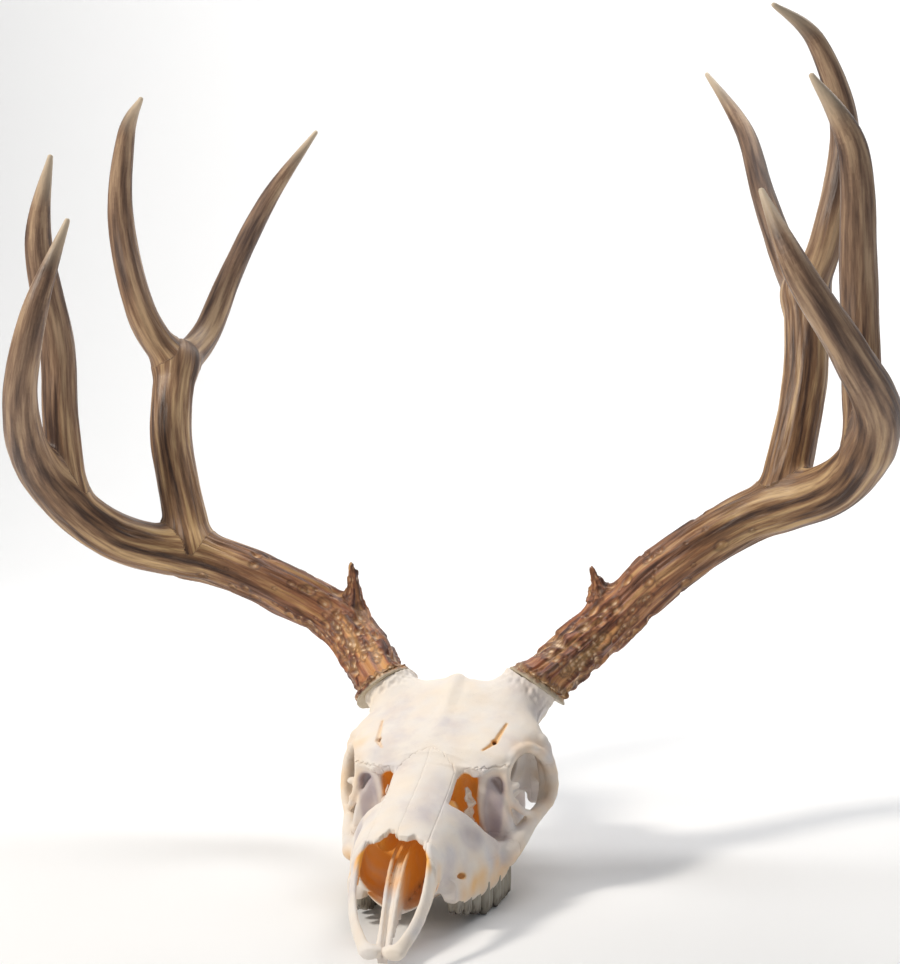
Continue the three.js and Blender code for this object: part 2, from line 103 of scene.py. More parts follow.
FORK_FILLET = 9.0
PEDICLE_LENGTH = 34.0
PEDICLE_RADIUS = 18.5
PEDICLE_INWARD = 4.0
BURR_RADIUS = 23.5
BURR_FACING = (0.56, 0.33, 0.76)
ANTLER_LEAN = math.radians(3)     # of the pair, to the animal's right
LEAN_HEIGHT = 93.4                # of the line that the pair leans about


# ---------------------------------------------------------------- fields of distances
def smooth_min(a, b, blend):
    share = np.clip(0.5 + 0.5 * (b - a) / blend, 0.0, 1.0)
    return b + (a - b) * share - blend * share * (1.0 - share)


def smooth_max(a, b, blend):
    return -smooth_min(-a, -b, blend)


def along(rows, place):
    """Smooth values between the rows of a table, for places counted in rows."""
    rows = np.asarray(rows, float)
    last = len(rows) - 1
    row = np.clip(np.floor(place).astype(int), 0, last - 1)
    share = np.clip(place - row, 0.0, 1.0)[..., None]
    before = rows[np.maximum(row - 1, 0)]
    start, end = rows[row], rows[row + 1]
    after = rows[np.minimum(row + 2, last)]
    rise, fall = (end - before) / 2, (after - start) / 2
    s2, s3 = share ** 2, share ** 3
    return ((2 * s3 - 3 * s2 + 1) * start + (s3 - 2 * s2 + share) * rise
            + (3 * s2 - 2 * s3) * end + (s3 - s2) * fall)


def at_depth(rows, y):
    """The other columns of a table whose first column is y, for every y of a grid."""
    rows = np.asarray(rows, float)
    place = np.interp(y, rows[:, 0], np.arange(len(rows)))
    return np.moveaxis(along(rows, place), -1, 0)[1:]


def turned(x, y, z, center, tilt=0.0, swing=0.0):
    """Offsets from a centre along axes turned by tilt about x and by swing about z, in degrees."""
    dx, dy, dz = x - center[0], y - center[1], z - center[2]
    if swing:
        c, s = math.cos(math.radians(swing)), math.sin(math.radians(swing))
        dx, dy = c * dx + s * dy, c * dy - s * dx
    if tilt:
        c, s = math.cos(math.radians(tilt)), math.sin(math.radians(tilt))
        dy, dz = c * dy + s * dz, c * dz - s * dy
    return dx, dy, dz


def ellipsoid(x, y, z, center, radii, tilt=0.0, swing=0.0):
    dx, dy, dz = turned(x, y, z, center, tilt, swing)
    a, b, c = radii
    near = np.sqrt((dx / a) ** 2 + (dy / b) ** 2 + (dz / c) ** 2)
    slope = np.sqrt((dx / a ** 2) ** 2 + (dy / b ** 2) ** 2 + (dz / c ** 2) ** 2)
    return near * (near - 1.0) / np.maximum(slope, 1e-6)


def rod(x, y, z, start, end):
    """A straight tapered rod between two (x, y, z, radius) ends."""
    ax, ay, az, ar = start
    ux, uy, uz = end[0] - ax, end[1] - ay, end[2] - az
    length2 = ux * ux + uy * uy + uz * uz
    px, py, pz = x - ax, y - ay, z - az
    share = np.clip((px * ux + py * uy + pz * uz) / length2, 0.0, 1.0)
    gap = np.sqrt((px - share * ux) ** 2 + (py - share * uy) ** 2 + (pz - share * uz) ** 2)
    return gap - (ar + share * (end[3] - ar))


def chain(x, y, z, points):
    """Tapered rods from each point to the next, each point an x, y, z and radius."""
    return reduce(np.minimum, (rod(x, y, z, start, end) for start, end in zip(points[:-1], points[1:])))


def bent_rod(x, y, z, stations):
    """A smooth bend through a few stations, in two rods from each one to the next."""
    return chain(x, y, z, along(stations, np.linspace(0, len(stations) - 1, 2 * len(stations) - 1)))


def block(x, y, z, center, half, rounding, swing=0.0):
    qx, qy, qz = (np.abs(d) - (h - rounding) for d, h in zip(turned(x, y, z, center, swing=swing), half))
    outside = np.sqrt(np.maximum(qx, 0) ** 2 + np.maximum(qy, 0) ** 2 + np.maximum(qz, 0) ** 2)
    return outside + np.minimum(np.maximum(np.maximum(qx, qy), qz), 0.0) - rounding


def outline(y, z, points):
    """Distance to a convex side-view outline of (y, z) points that run anticlockwise."""
    edges = []
    for (y0, z0), (y1, z1) in zip(points, points[1:] + points[:1]):
        length = math.hypot(y1 - y0, z1 - z0)
        edges.append(((z1 - z0) * (y - y0) - (y1 - y0) * (z - z0)) / length)
    return reduce(np.maximum, edges)


def midline_body(ax, y, z, rows, upper=2.0, lower=2.6):
    """A body across the midline, from rows of y, half width, top, bottom and widest height."""
    width, top, bottom, widest = at_depth(rows, y)
    rise = z - widest
    height = np.where(rise > 0, top - widest, widest - bottom)
    power = np.where(rise > 0, upper, lower)
    near = ((ax / width) ** power + (np.abs(rise) / height) ** power) ** (1.0 / power)
    side = (near - 1.0) * np.minimum(width, height)
    return np.maximum(side, np.maximum(rows[0][0] - y, y - rows[-1][0]))


def blade(ax, y, z, rows, lean=0.0, power=2.0):
    """A bar beside the midline, from rows of y, x, z, half thickness and half height."""
    x0, z0, thick, high = at_depth(rows, y)
    dz = z - z0
    dx = ax - x0 + lean * dz
    near = (np.abs(dx / thick) ** power + np.abs(dz / high) ** power) ** (1.0 / power)
    return np.maximum((near - 1.0) * thick, np.maximum(rows[0][0] - y, y - rows[-1][0]))


# ---------------------------------------------------------------- smooth random fields
def lattice(seed):
    source = np.random.RandomState(seed)
    order = source.permutation(256)
    slopes = source.normal(size=(256, 3))
    slopes /= np.linalg.norm(slopes, axis=1)[:, None]
    return np.concatenate([order, order]), slopes


NOISE_SEED = 7
LATTICE = lattice(NOISE_SEED)


def noise(x, y, z):
    """Gradient noise, about -0.7 to 0.7, one bump to a unit."""
    order, slopes = LATTICE
    corner = [np.floor(v).astype(int) for v in (x, y, z)]
    part = [v - c for v, c in zip((x, y, z), corner)]
    ease = [p * p * p * (p * (p * 6 - 15) + 10) for p in part]
    total = 0.0
    for i, j, k in product((0, 1), repeat=3):
        key = order[order[order[(corner[0] + i) & 255] + ((corner[1] + j) & 255)] + ((corner[2] + k) & 255)]
        slope = slopes[key]
        dot = slope[..., 0] * (part[0] - i) + slope[..., 1] * (part[1] - j) + slope[..., 2] * (part[2] - k)
        weight = ((ease[0] if i else 1 - ease[0]) * (ease[1] if j else 1 - ease[1])
                  * (ease[2] if k else 1 - ease[2]))
        total = total + dot * weight
    return total


def ease_between(value, low, high):
    share = np.clip((value - low) / (high - low), 0.0, 1.0)
    return share * share * (3 - 2 * share)


def bell(value, width):
    return np.exp(-(value / width) ** 2)


# ---------------------------------------------------------------- meshes from fields
def surface_of(grid, low, voxel):
    """Points in millimetres and quads that face out."""
    points, _, quads = grid.convertToPolygons(isovalue=0.0, adaptivity=0.0)
    return points.astype(float) * voxel + low, quads[:, ::-1].astype(int)


def mesh_object(name, points, quads, material):
    mesh = bpy.data.meshes.new(name)
    mesh.vertices.add(len(points))
    mesh.vertices.foreach_set("co", ((points + SHIFT) * MM).astype(np.float32).ravel())
    mesh.loops.add(quads.size)
    mesh.loops.foreach_set("vertex_index", quads.astype(np.int32).ravel())
    mesh.polygons.add(len(quads))
    mesh.polygons.foreach_set("loop_start", np.arange(0, quads.size, 4, dtype=np.int32))
    mesh.polygons.foreach_set("use_smooth", np.ones(len(quads), bool))
    mesh.update(calc_edges=True)
    mesh.validate()
    mesh.materials.append(material)
    piece = bpy.data.objects.new(name, mesh)
    bpy.context.scene.collection.objects.link(piece)
    return piece


def point_normals(points, quads):
    corners = points[quads]
    face = np.cross(corners[:, 2] - corners[:, 0], corners[:, 3] - corners[:, 1])
    total = np.zeros_like(points)
    for k in range(4):
        for axis in range(3):
            total[:, axis] += np.bincount(quads[:, k], face[:, axis], len(points))
    return total / np.maximum(np.linalg.norm(total, axis=1), 1e-9)[:, None]


def keep_values(piece, **named):
    """Numbers for each point of a mesh, which its material reads by name."""
    for name, values in named.items():
        layer = piece.data.attributes.new(name, "FLOAT", "POINT")
        layer.data.foreach_set("value", np.asarray(values, np.float32))


def fill(grid, values, voxel, corner):
    values = np.clip(values, -REACH * voxel, REACH * voxel).astype(np.float32)
    grid.copyFromArray(np.ascontiguousarray(values), ijk=corner)


def slabs(low, high, voxel):
    """The first index and the coordinates of a grid, in slabs along y to save memory."""
    count = np.ceil((high - low) / voxel).astype(int) + 1
    x = (low[0] + np.arange(count[0]) * voxel)[:, None, None]
    z = (low[2] + np.arange(count[2]) * voxel)[None, None, :]
    for first in range(0, count[1], SLAB):
        y = (low[1] + np.arange(first, min(first + SLAB, count[1])) * voxel)[None, :, None]
        yield (0, first, 0), x, y, z


# ---------------------------------------------------------------- the skull
# Rows for midline_body: y, half width, top, bottom and widest height.
VAULT = [
    (158, 30, 93, 40, 66), (174, 28, 101, 38, 68), (188, 26, 107, 36, 74), (204, 32, 114, 34, 78),
    (218, 39, 122, 34, 78), (232, 43, 126, 35, 76), (250, 43, 117, 36, 72), (268, 39, 104, 38, 68),
    (282, 32, 94, 40, 64), (290, 21, 85, 47, 62),
]
ORBIT_ROOF = [
    (150, 37, 87.5, 78, 83), (163, 49, 96, 80, 87), (180, 55, 103, 82, 90), (195, 61, 109, 82, 90),
    (204, 65, 113, 82, 90), (216, 57, 119, 92, 100), (232, 43, 125, 100, 112),
]
MUZZLE = [
    (62, 26, 60, 15, 44), (76, 28, 62, 14, 45), (90, 32, 67, 13, 42), (110, 38, 74, 13, 36),
    (130, 44, 81, 13, 34), (148, 50, 89, 14, 36), (160, 54, 94, 18, 38), (173, 50, 95, 26, 44),
]
NASAL_CAVITY = [
    (50, 23, 66, 17, 44), (76, 25.2, 58.6, 16.8, 45), (90, 29, 63.5, 16.5, 42), (110, 31.5, 70.5, 17, 36),
    (130, 36, 77.5, 18.5, 36), (148, 38, 85, 24, 44), (160, 24, 88, 40, 62),
]
# Rows for blade: y, x, z, half thickness and half height.
PREMAXILLA = [
    (5.5, 7.2, 12.6, 4.6, 3.3), (13, 12.4, 16.2, 3.3, 3.8), (25, 18.2, 23.3, 2.7, 4.0),
    (40, 21.8, 31.3, 2.5, 4.8), (50, 23.0, 36.6, 2.4, 6.2), (60, 23.3, 41.5, 2.2, 8),
    (76, 23.2, 47, 1.7, 9.5),
]
TOOTH_BED = [
    (85, 29.5, 25.5, 4.5, 7), (93, 31, 24, 6, 8), (105, 32.4, 23.5, 7, 9.5), (116, 34.4, 23, 7.8, 10.5),
    (130, 36.8, 23.5, 8.7, 11.5), (147, 39.2, 24.5, 9.3, 12), (164, 40, 26, 9, 12),
    (174, 40.5, 29, 7.5, 10.5),
]
# Stations of bent rods: x, y, z and radius.
CHEEK_ARCH = [
    (50, 148, 31, 7), (55, 163, 38, 6.5), (60, 178, 46, 5), (64, 194, 51, 4.5), (64, 212, 56, 4),
    (57, 234, 61, 4.5), (43, 250, 65, 5.5),
]
BEHIND_ORBIT_OUTER = [(63, 204, 92, 4), (67.5, 204, 79, 3.6), (68, 203, 64, 3.4), (65, 200, 52, 3.5)]
BEHIND_ORBIT_INNER = [(58, 205, 92, 4), (62, 206, 79, 3.2), (63, 205, 64, 3), (63, 202, 53, 3)]
CREST = [(0, 176, 98.5, 2.2), (0, 206, 112.5, 2.8), (0, 230, 125.5, 4.2), (0, 242, 120, 4), (0, 270, 101, 3)]
CREST_EDGE = [(0, 194, 108.9, 0.8), (0, 204, 113.4, 1.4), (0, 218, 121.2, 1.8), (0, 230, 125.2, 2.2)]
FOREHEAD_SLIT = [
    (41.8, 195.5, 104.2, 0.5), (39.8, 181, 99.5, 0.9), (38.5, 173, 96.6, 1.1), (33, 164, 93.6, 0.4),
]
TEAR_PIT = [(40.5, 157.5, 45, 3.2), (40.3, 158, 57, 5.2), (42.5, 159, 74, 4.6)]
TEAR_RIDGE = [(38, 157.5, 38.5, 1.6), (32.5, 157.5, 52, 1.4), (31.5, 157.5, 68, 1.4), (36, 158, 84, 1.8)]
NOSE_RODS = [
    (2.6, 9, 11.5, 1.9), (3.0, 28, 19, 1.5), (3.4, 48, 30, 1.4), (4.0, 70, 41, 1.3), (4.2, 96, 50, 1.2),
    (3.5, 130, 60, 1.2),
]
EAR_PROCESS = [(27, 273, 58, 8), (30, 272, 32, 5.5), (29.5, 269, 12, 3.4), (29, 268, 2.6, 2.6)]
# The side-view outline, y and z, of the opening beside a nasal bone.
VACUITY = [(119, 73), (132, 51), (143, 41.5), (157, 38.5), (157, 84), (143, 86), (122, 77)]
ORBIT = {"center": (59.5, 181.5, 71), "ring_y": 21.5, "ring_z": 20.5, "turn": 10.0, "lean": 4.5}
NOSE_BEND = {"from": 85, "reach": 82, "aside": 10.5, "power": 1.3}


def straightened(x, y):
    """x with the snout's bend to the animal's left taken out."""
    share = np.maximum(0, NOSE_BEND["from"] - y) / NOSE_BEND["reach"]
    return x - NOSE_BEND["aside"] * share ** NOSE_BEND["power"]


def leaned(place):
    """A place on an antler, or a direction from the line it leans about."""
    x, y, z = place
    c, s = math.cos(ANTLER_LEAN), math.sin(ANTLER_LEAN)
    return c * x - s * z, y, s * x + c * z


def stations_on(side, rows):
    made = []
    for x, y, z, radius, inward, lift in rows:
        x, z = (x, z) if side > 0 else (inward - x, z + lift)
        x, y, z = leaned((x, y, z - LEAN_HEIGHT))
        made.append((x, y, z + LEAN_HEIGHT, radius))
    return made


def burr_place(side):
    """The middle of a burr's underside, and the way that the burr faces."""
    a, b, c = BURR_FACING
    facing = np.array(leaned((side * a, b, c)))
    return np.array(stations_on(side, BEAM)[0][:3]), facing / np.linalg.norm(facing)


def above_burr(side, x, y, z):
    center, facing = burr_place(side)
    return (x - center[0]) * facing[0] + (y - center[1]) * facing[1] + (z - center[2]) * facing[2]


def orbit_ring(ax, y, z):
    cx, cy, cz = ORBIT["center"]
    steps = 20
    points = []
    for k in range(steps + 1):
        turn = 2 * math.pi * k / steps
        back, up = math.cos(turn), math.sin(turn)
        radius = 2.5 + 1.2 * max(0.0, back) - 0.3 * max(0.0, -up)
        points.append((cx + ORBIT["turn"] * back - ORBIT["lean"] * up, cy + ORBIT["ring_y"] * back,
                       cz + ORBIT["ring_z"] * up, radius))
    return chain(ax, y, z, points)


def cheek_arch(ax, y, z):
    bars = smooth_min(bent_rod(ax, y, z, BEHIND_ORBIT_OUTER), bent_rod(ax, y, z, BEHIND_ORBIT_INNER), 3)
    root = smooth_min(block(ax, y, z, (42, 246, 62), (10, 9, 13), 6),
                      block(ax, y, z, (49.5, 246, 57), (6, 7, 16), 4), 3)
    return smooth_min(smooth_min(bent_rod(ax, y, z, CHEEK_ARCH), bars, 4), root, 4)


def cheek_fossa(ax, y, z):
    """The hollow in the side of the snout, behind the nose opening."""
    return ellipsoid(ax, y, z, (49.2, 112, 55), (15.5, 16, 9.5), tilt=-30, swing=12)


def nasal_cavity(ax, y, z):
    return midline_body(ax, y, z, NASAL_CAVITY, 2.0, 2.0)


def muzzle_shell(ax, y, z):
    shell = midline_body(ax, y, z, MUZZLE, 2.0, 1.7)
    shell = smooth_min(shell, blade(ax, y, z, TOOTH_BED, power=3.0), 6)
    rim = z - (0.72 * y + 5)
    shell = smooth_max(shell, np.where(y < 76, rim, -50.0) * np.ones_like(shell), 1.5)
    shell = smooth_max(shell, -nasal_cavity(ax, y, z), 1.5)
    fissure = np.maximum(y - 74 + 0.012 * (ax - 10) ** 2, np.maximum(ax - 20.5, z - 30))
    shell = smooth_max(shell, -fissure, 2)
    lower_edge = np.interp(y, [45, 60, 75, 80, 90], [30, 34, 36, 34, 10.5])
    behind = np.maximum(z - lower_edge, np.maximum(20.5 - ax, y - 90))
    shell = smooth_max(shell, -behind, 1.5)
    shell = smooth_max(shell, -cheek_fossa(ax, y, z), 4)
    gap = smooth_max(outline(y, z, VACUITY), 21 - ax, 3)
    return smooth_max(shell, -gap, 2.5)


def nasal_tips(x, y, z):
    """The ragged front edge of the nasal bones: what lies in front of it is cut away."""
    edge = 77 + 6.5 * bell(x + 4.4, 3.8) - 4.0 * bell(x + 12.8, 2.6)
    edge = edge - 5.0 * bell(x - 5.0, 2.6) + 3.5 * bell(x - 11, 2.4)
    edge = edge + 0.8 * np.sin(x * 2.1 + 0.6) * (x < 4)
    return np.maximum(y - edge, np.maximum(np.abs(x) - 17.5, 46 - z))


def tear_pit(ax, y, z):
    return bent_rod(ax, y, z, TEAR_PIT)


def tear_bone(ax, y, z):
    """The upright plate in front of the orbit, its bright front ridge and the tear pit in its face."""
    plate = block(ax, y, z, (41, 164, 61), (12, 6.5, 24.5), 2.5, swing=10)
    front_x = 31 + 0.0105 * (z - 64) ** 2
    back_x = 46.5 + 0.1 * (z - 42)
    plate = smooth_max(plate, np.maximum(front_x - ax, ax - back_x), 1.5)
    plate = smooth_max(plate, -tear_pit(ax, y, z), 1.0)
    plate = smooth_min(plate, bent_rod(ax, y, z, TEAR_RIDGE), 1.5)
    knobs = np.minimum(ellipsoid(ax, y, z, (53.5, 163, 72.5), (3.6, 3.2, 2.4)),
                       ellipsoid(ax, y, z, (51.5, 163, 61.5), (4.2, 3.2, 2.2)))
    return smooth_min(plate, knobs, 2)


def nose_rods(ax, y, z):
    """The upright trough of the vomer and the two rods that run on to the nose tip."""
    top = np.interp(y, [9, 28, 48, 70, 96, 130, 158], [11, 18.5, 29.5, 40.5, 49.5, 60, 72])
    ragged = 1.1 * np.sin(y * 0.55) + 0.7 * np.sin(y * 1.3 + 1)
    floor = np.interp(y, [9, 24, 40, 60, 78, 150], [7, 9, 12, 15, 16, 20]) + ragged
    web = np.maximum(ax - np.interp(y, [9, 60, 100], [2.9, 3.2, 2.2]), z - top + 1.2)
    web = np.maximum(np.maximum(web, floor - z), np.maximum(9 - y, y - 156))
    return smooth_min(bent_rod(ax, y, z, NOSE_RODS), web, 1.2)


def scrolls(ax, y, z):
    """Thin scrolls of bone inside the nose, which show through the openings beside the nasals."""
    ripple = 1.6 * np.sin(z * 0.42) + 1.1 * np.sin(z * 0.9 + 1)
    sheet = np.abs(ax - 27.5 - ripple - 0.25 * (y - 150)) - 0.6
    sheet = np.maximum(sheet, ellipsoid(ax, y, z, (28, 151, 58), (9, 8 + 0.5 * ripple, 19)))
    second = np.abs(ellipsoid(ax, y, z, (17, 128, 54), (5.5, 30, 14))) - 0.8
    return np.minimum(sheet, second)


def skull_base(ax, y, z):
    base = midline_body(ax, y, z, [(196, 9, 44, 27, 34), (236, 12, 50, 31, 38), (284, 12, 54, 41, 46)])
    wings = blade(ax, y, z, [(160, 13, 24, 1.6, 12), (184, 12, 28, 1.5, 13), (206, 11, 36, 1.5, 8)])
    bulla = ellipsoid(ax, y, z, (23, 246, 36), (8.5, 13, 8.5))
    ear = bent_rod(ax, y, z, [(24, 246, 42, 6), (33, 250, 50, 5.5), (42, 251, 57, 5)])
    ear = smooth_max(ear, -rod(ax, y, z, (30, 249, 48, 2.6), (48, 252, 61, 2.8)), 0.8)
    process = bent_rod(ax, y, z, EAR_PROCESS)
    condyle = ellipsoid(ax, y, z, (14.5, 283.5, 50), (8.5, 8.5, 12.5), swing=-20)
    body = smooth_min(smooth_min(base, wings, 3), smooth_min(bulla, ear, 2), 2)
    return smooth_min(body, smooth_min(process, condyle, 3), 4)


def pedicle(side, x, y, z):
    """The bone under a burr, set towards the midline, so that the burr's outer half overhangs it."""
    center, facing = burr_place(side)
    inward = np.array((-side, 0.0, 0.0))
    inward = inward - facing * inward.dot(facing)
    center = center + inward / np.linalg.norm(inward) * PEDICLE_INWARD
    spots = [(PEDICLE_LENGTH, PEDICLE_RADIUS + 2), (PEDICLE_LENGTH / 2, PEDICLE_RADIUS),
             (0.5, PEDICLE_RADIUS + 0.8)]
    stations = [(*(center - facing * distance), radius) for distance, radius in spots]
    return smooth_max(bent_rod(x, y, z, stations), above_burr(side, x, y, z), 0.6)


def forehead_groove(ax, y, z):
    """The slit and the small hole over each orbit."""
    hole = rod(ax, y, z, (38.7, 173, 98, 1.5), (36, 184, 92, 1.4))
    return smooth_min(bent_rod(ax, y, z, FOREHEAD_SLIT), hole, 1.5)


def cheek_hole(ax, y, z):
    return ellipsoid(ax, y, z, (33, 97, 31.9), (2.7, 4.2, 1.9), swing=-25)


def skull_field(x, y, z):
    upper_x = x
    x = straightened(x, y)
    ax = np.abs(x)
    vault, roof = midline_body(ax, y, z, VAULT, 2.4, 2.4), midline_body(ax, y, z, ORBIT_ROOF, 2.3, 2.3)
    upper = smooth_min(vault, roof, 6)
    for side in (1, -1):
        upper = smooth_min(upper, pedicle(side, upper_x, y, z), 13)
    upper = smooth_min(upper, bent_rod(ax, y, z, CREST), 6)
    nape = ellipsoid(ax, y, z, (0, 286, 84), (33, 4, 9))
    upper = smooth_min(upper, nape, 5)
    whole = smooth_min(upper, muzzle_shell(ax, y, z), 3)
    recess = ellipsoid(ax, y, z, (25, 156, 63), (8.5, 14, 20))
    whole = smooth_max(whole, -recess, 2)
    whole = smooth_min(whole, tear_bone(ax, y, z), 2)
    cx, cy, cz = ORBIT["center"]
    socket = ellipsoid(ax, y, z, (cx + 6, cy + 1, cz), (40, 19.5, 18.5), swing=-16)
    whole = smooth_max(whole, -socket, 2.5)
    fossa = ellipsoid(ax, y, z, (64, 228, 76), (21, 22, 24))
    whole = smooth_max(whole, -np.maximum(fossa, z - 94), 4)
    whole = smooth_min(whole, smooth_min(orbit_ring(ax, y, z), cheek_arch(ax, y, z), 3), 2.5)
    whole = smooth_min(whole, bent_rod(ax, y, z, CREST_EDGE), 3)
    whole = smooth_max(whole, -forehead_groove(ax, y, z), 1.1)
    whole = smooth_max(whole, -cheek_hole(ax, y, z), 1)
    snout_end = ellipsoid(ax, y, z, (6.5, 10.5, 12.8), (7.5, 6.3, 3.7))
    snout = smooth_min(blade(ax, y, z, PREMAXILLA, 0.22), snout_end, 2.5)
    notch = ellipsoid(ax, y, z, (0, 0, 11), (2.2, 7, 9))
    snout = smooth_max(snout, -notch, 1.5)
    whole = smooth_min(whole, snout, 3)
    whole = smooth_max(whole, -nasal_tips(upper_x, y, z), 0.8)
    whole = smooth_min(whole, nose_rods(ax, y, z), 1.0)
    whole = np.minimum(whole, np.maximum(scrolls(ax, y, z), nasal_cavity(ax, y, z)))
    whole = smooth_min(whole, skull_base(ax, y, z), 4)
    canal = rod(ax, y, z, (0, 262, 62, 8.5), (0, 300, 60, 9.5))
    whole = smooth_max(whole, -canal, 1.5)
    return np.maximum(whole, 0.05 - z)


# ---- sutures: side-view outlines of the bones ----
NASAL_OUTLINE = [(60, 46), (110, 60), (163, 80), (163, 112), (60, 92)]
FRONTAL_MIDDLE = [(146, 74), (208, 82), (240, 104), (240, 150), (146, 150)]
FRONTAL_SIDE = [(163, 79), (208, 78), (266, 98), (266, 150), (163, 150)]
FRONTAL_BROW = [(149, 85.5), (170, 85.5), (170, 150), (149, 150)]
TEAR_OUTLINE = [(150, 38), (160, 46), (173.5, 62), (173.5, 85), (150, 85)]
CHEEK_OUTLINE = [(154, 26), (244, 42), (240, 70), (216, 86), (150, 85)]
OCCIPITAL_OUTLINES = [
    [(256, -5), (310, -5), (310, 120), (276, 120), (256, 58)], [(231, 20), (257, 20), (257, 58), (231, 50)],
]
BRAINCASE_OUTLINE = [(206, 44), (240, 30), (262, 30), (300, 60), (300, 160), (206, 160)]
SPHENOID_OUTLINE = [(176, -5), (262, -5), (262, 160), (166, 160), (166, 60)]
PREMAXILLA_OUTLINE = [(-5, -5), (64, -5), (64, 30), (88, 60), (86, 66), (58, 60), (-5, 40)]
EVERYTHING = [(-9, -9), (320, -9), (320, 200), (-9, 200)]
SUTURE_OVERLAP = 0.12             # how far two bones reach into each other at the surface
SUTURE_GRIP = 0.5                 # and how much further below it
SKULL_LOW, SKULL_HIGH = np.array((-78.0, -1.0, -2.0)), np.array((84.0, 296.0, 142.0))


def bone_regions():
    """One field per bone, each cut back by the bones taken before it."""
    def within(points, inner, outer, side=0):
        """Inside a wavy side-view outline, and between two distances from the midline."""
        def region(x, y, z):
            x = straightened(x, y)
            reach = np.abs(x) if side == 0 else side * x
            wavy_y = y + 0.5 * np.sin(x * 1.1 + 1.7 * np.sin(z * 0.45))
            wavy_z = z + 0.5 * np.sin(x * 1.3 + 1.5 * np.sin(y * 0.5))
            return np.maximum(outline(wavy_y, wavy_z, points), np.maximum(inner - reach, reach - outer))
        return region

    def either(*parts):
        return lambda x, y, z: reduce(np.minimum, (part(x, y, z) for part in parts))

    def nasal(side):
        """A nasal bone's back edge is an arch from the midline down to its outer corner."""
        plain = within(NASAL_OUTLINE, 0, 19, side)

        def region(x, y, z):
            jag = 0.7 * np.sin(x * 1.6) + 0.5 * np.sin(x * 3.1 + 1)
            arch = 160 - 0.035 * x ** 2 + 2.5 * bell(x, 2.5) + jag
            return np.maximum(plain(x, y, z), y - arch)
        return region

    def pair(part, made):
        return [(f"{word}_{part}", made(side)) for word, side in SIDES]

    forehead = either(
        within(FRONTAL_MIDDLE, -1, 24), within(FRONTAL_SIDE, 20, 95), within(FRONTAL_BROW, 20, 95))
    return [
        *pair("nasal", nasal),
        *pair("premaxilla", lambda side: within(PREMAXILLA_OUTLINE, 0, 60, side)),
        ("frontal", forehead),
        *pair("lacrimal", lambda side: within(TEAR_OUTLINE, 24, 95, side)),
        *pair("zygomatic", lambda side: within(CHEEK_OUTLINE, 47, 95, side)),
        ("occipital", either(*(within(points, -1, 95) for points in OCCIPITAL_OUTLINES))),
        ("braincase", within(BRAINCASE_OUTLINE, -1, 95)),
        ("sphenoid", within(SPHENOID_OUTLINE, -1, 95)),
        *pair("maxilla", lambda side: within(EVERYTHING, 0, 99, side)),
    ]


def skull_meshes():
    """One mesh for each bone, cut from the field of the whole skull."""
    order = bone_regions()
    grids = {name: openvdb.FloatGrid(REACH * BONE_VOXEL) for name, region in order}
    for corner, x, y, z in slabs(SKULL_LOW, SKULL_HIGH, BONE_VOXEL):
        whole = skull_field(x, y, z)
        grip = SUTURE_GRIP * ease_between(-whole, 0.2, 1.0)
        taken = np.inf
        for name, region in order:
            inside = region(x, y, z)
            own = np.maximum(inside, -taken)
            part = smooth_max(whole, own - SUTURE_OVERLAP - grip, 0.3)
            if part.min() < 0:
                fill(grids[name], part, BONE_VOXEL, corner)
            taken = np.minimum(taken, inside)
    return {name: surface_of(grid, SKULL_LOW, BONE_VOXEL) for name, grid in grids.items()}


# ---------------------------------------------------------------- materials
def node(tree, kind, place, **values):
    made = tree.nodes.new(kind)
    made.location = place
    for key, value in values.items():
        if hasattr(made, key):
            setattr(made, key, value)
        else:
            made.inputs[key.replace("_", " ")].default_value = value
    return made


def new_material(name, roughness, specular=0.5):
    material = bpy.data.materials.new(name)
    material.use_nodes = True
    tree = material.node_tree
    shader = tree.nodes["Principled BSDF"]
    shader.inputs["Roughness"].default_value = roughness
    shader.inputs["Specular IOR Level"].default_value = specular
    return material, tree, shader


def effect_group(name, inputs, outputs):
    group = bpy.data.node_groups.new(name, "ShaderNodeTree")
    for label, kind in inputs:
        group.interface.new_socket(label, in_out="INPUT", socket_type=kind)
    for label, kind in outputs:
        group.interface.new_socket(label, in_out="OUTPUT", socket_type=kind)
    return group, node(group, "NodeGroupInput", (-900, 0)), node(group, "NodeGroupOutput", (600, 0))


def ramp(tree, place, stops):
    made = node(tree, "ShaderNodeValToRGB", place)
    elements = made.color_ramp.elements
    while len(elements) < len(stops):
        elements.new(0.5)
    for element, (position, color) in zip(elements, stops):
        element.position = position
        element.color = (*color, 1.0)
    return made


def mix(tree, place, factor, first, second):
    made = node(tree, "ShaderNodeMix", place, data_type="RGBA")
    for socket, value in ((0, factor), (6, first), (7, second)):
        if isinstance(value, bpy.types.NodeSocket):
            tree.links.new(value, made.inputs[socket])
        elif isinstance(value, tuple):
            made.inputs[socket].default_value = (*value, 1.0)
        else:
            made.inputs[socket].default_value = value
    return made.outputs[2]


def attribute(tree, place, name):
    return node(tree, "ShaderNodeAttribute", place, attribute_name=name)


def stained(tree, color, layers):
    """Colours laid over one another, each as far as a named value of the mesh says."""
    for k, (name, stain) in enumerate(layers):
        amount = attribute(tree, (-800 + 150 * k, -350), name)
        color = mix(tree, (-600 + 150 * k, 100), amount.outputs["Fac"], color, stain)
    return color


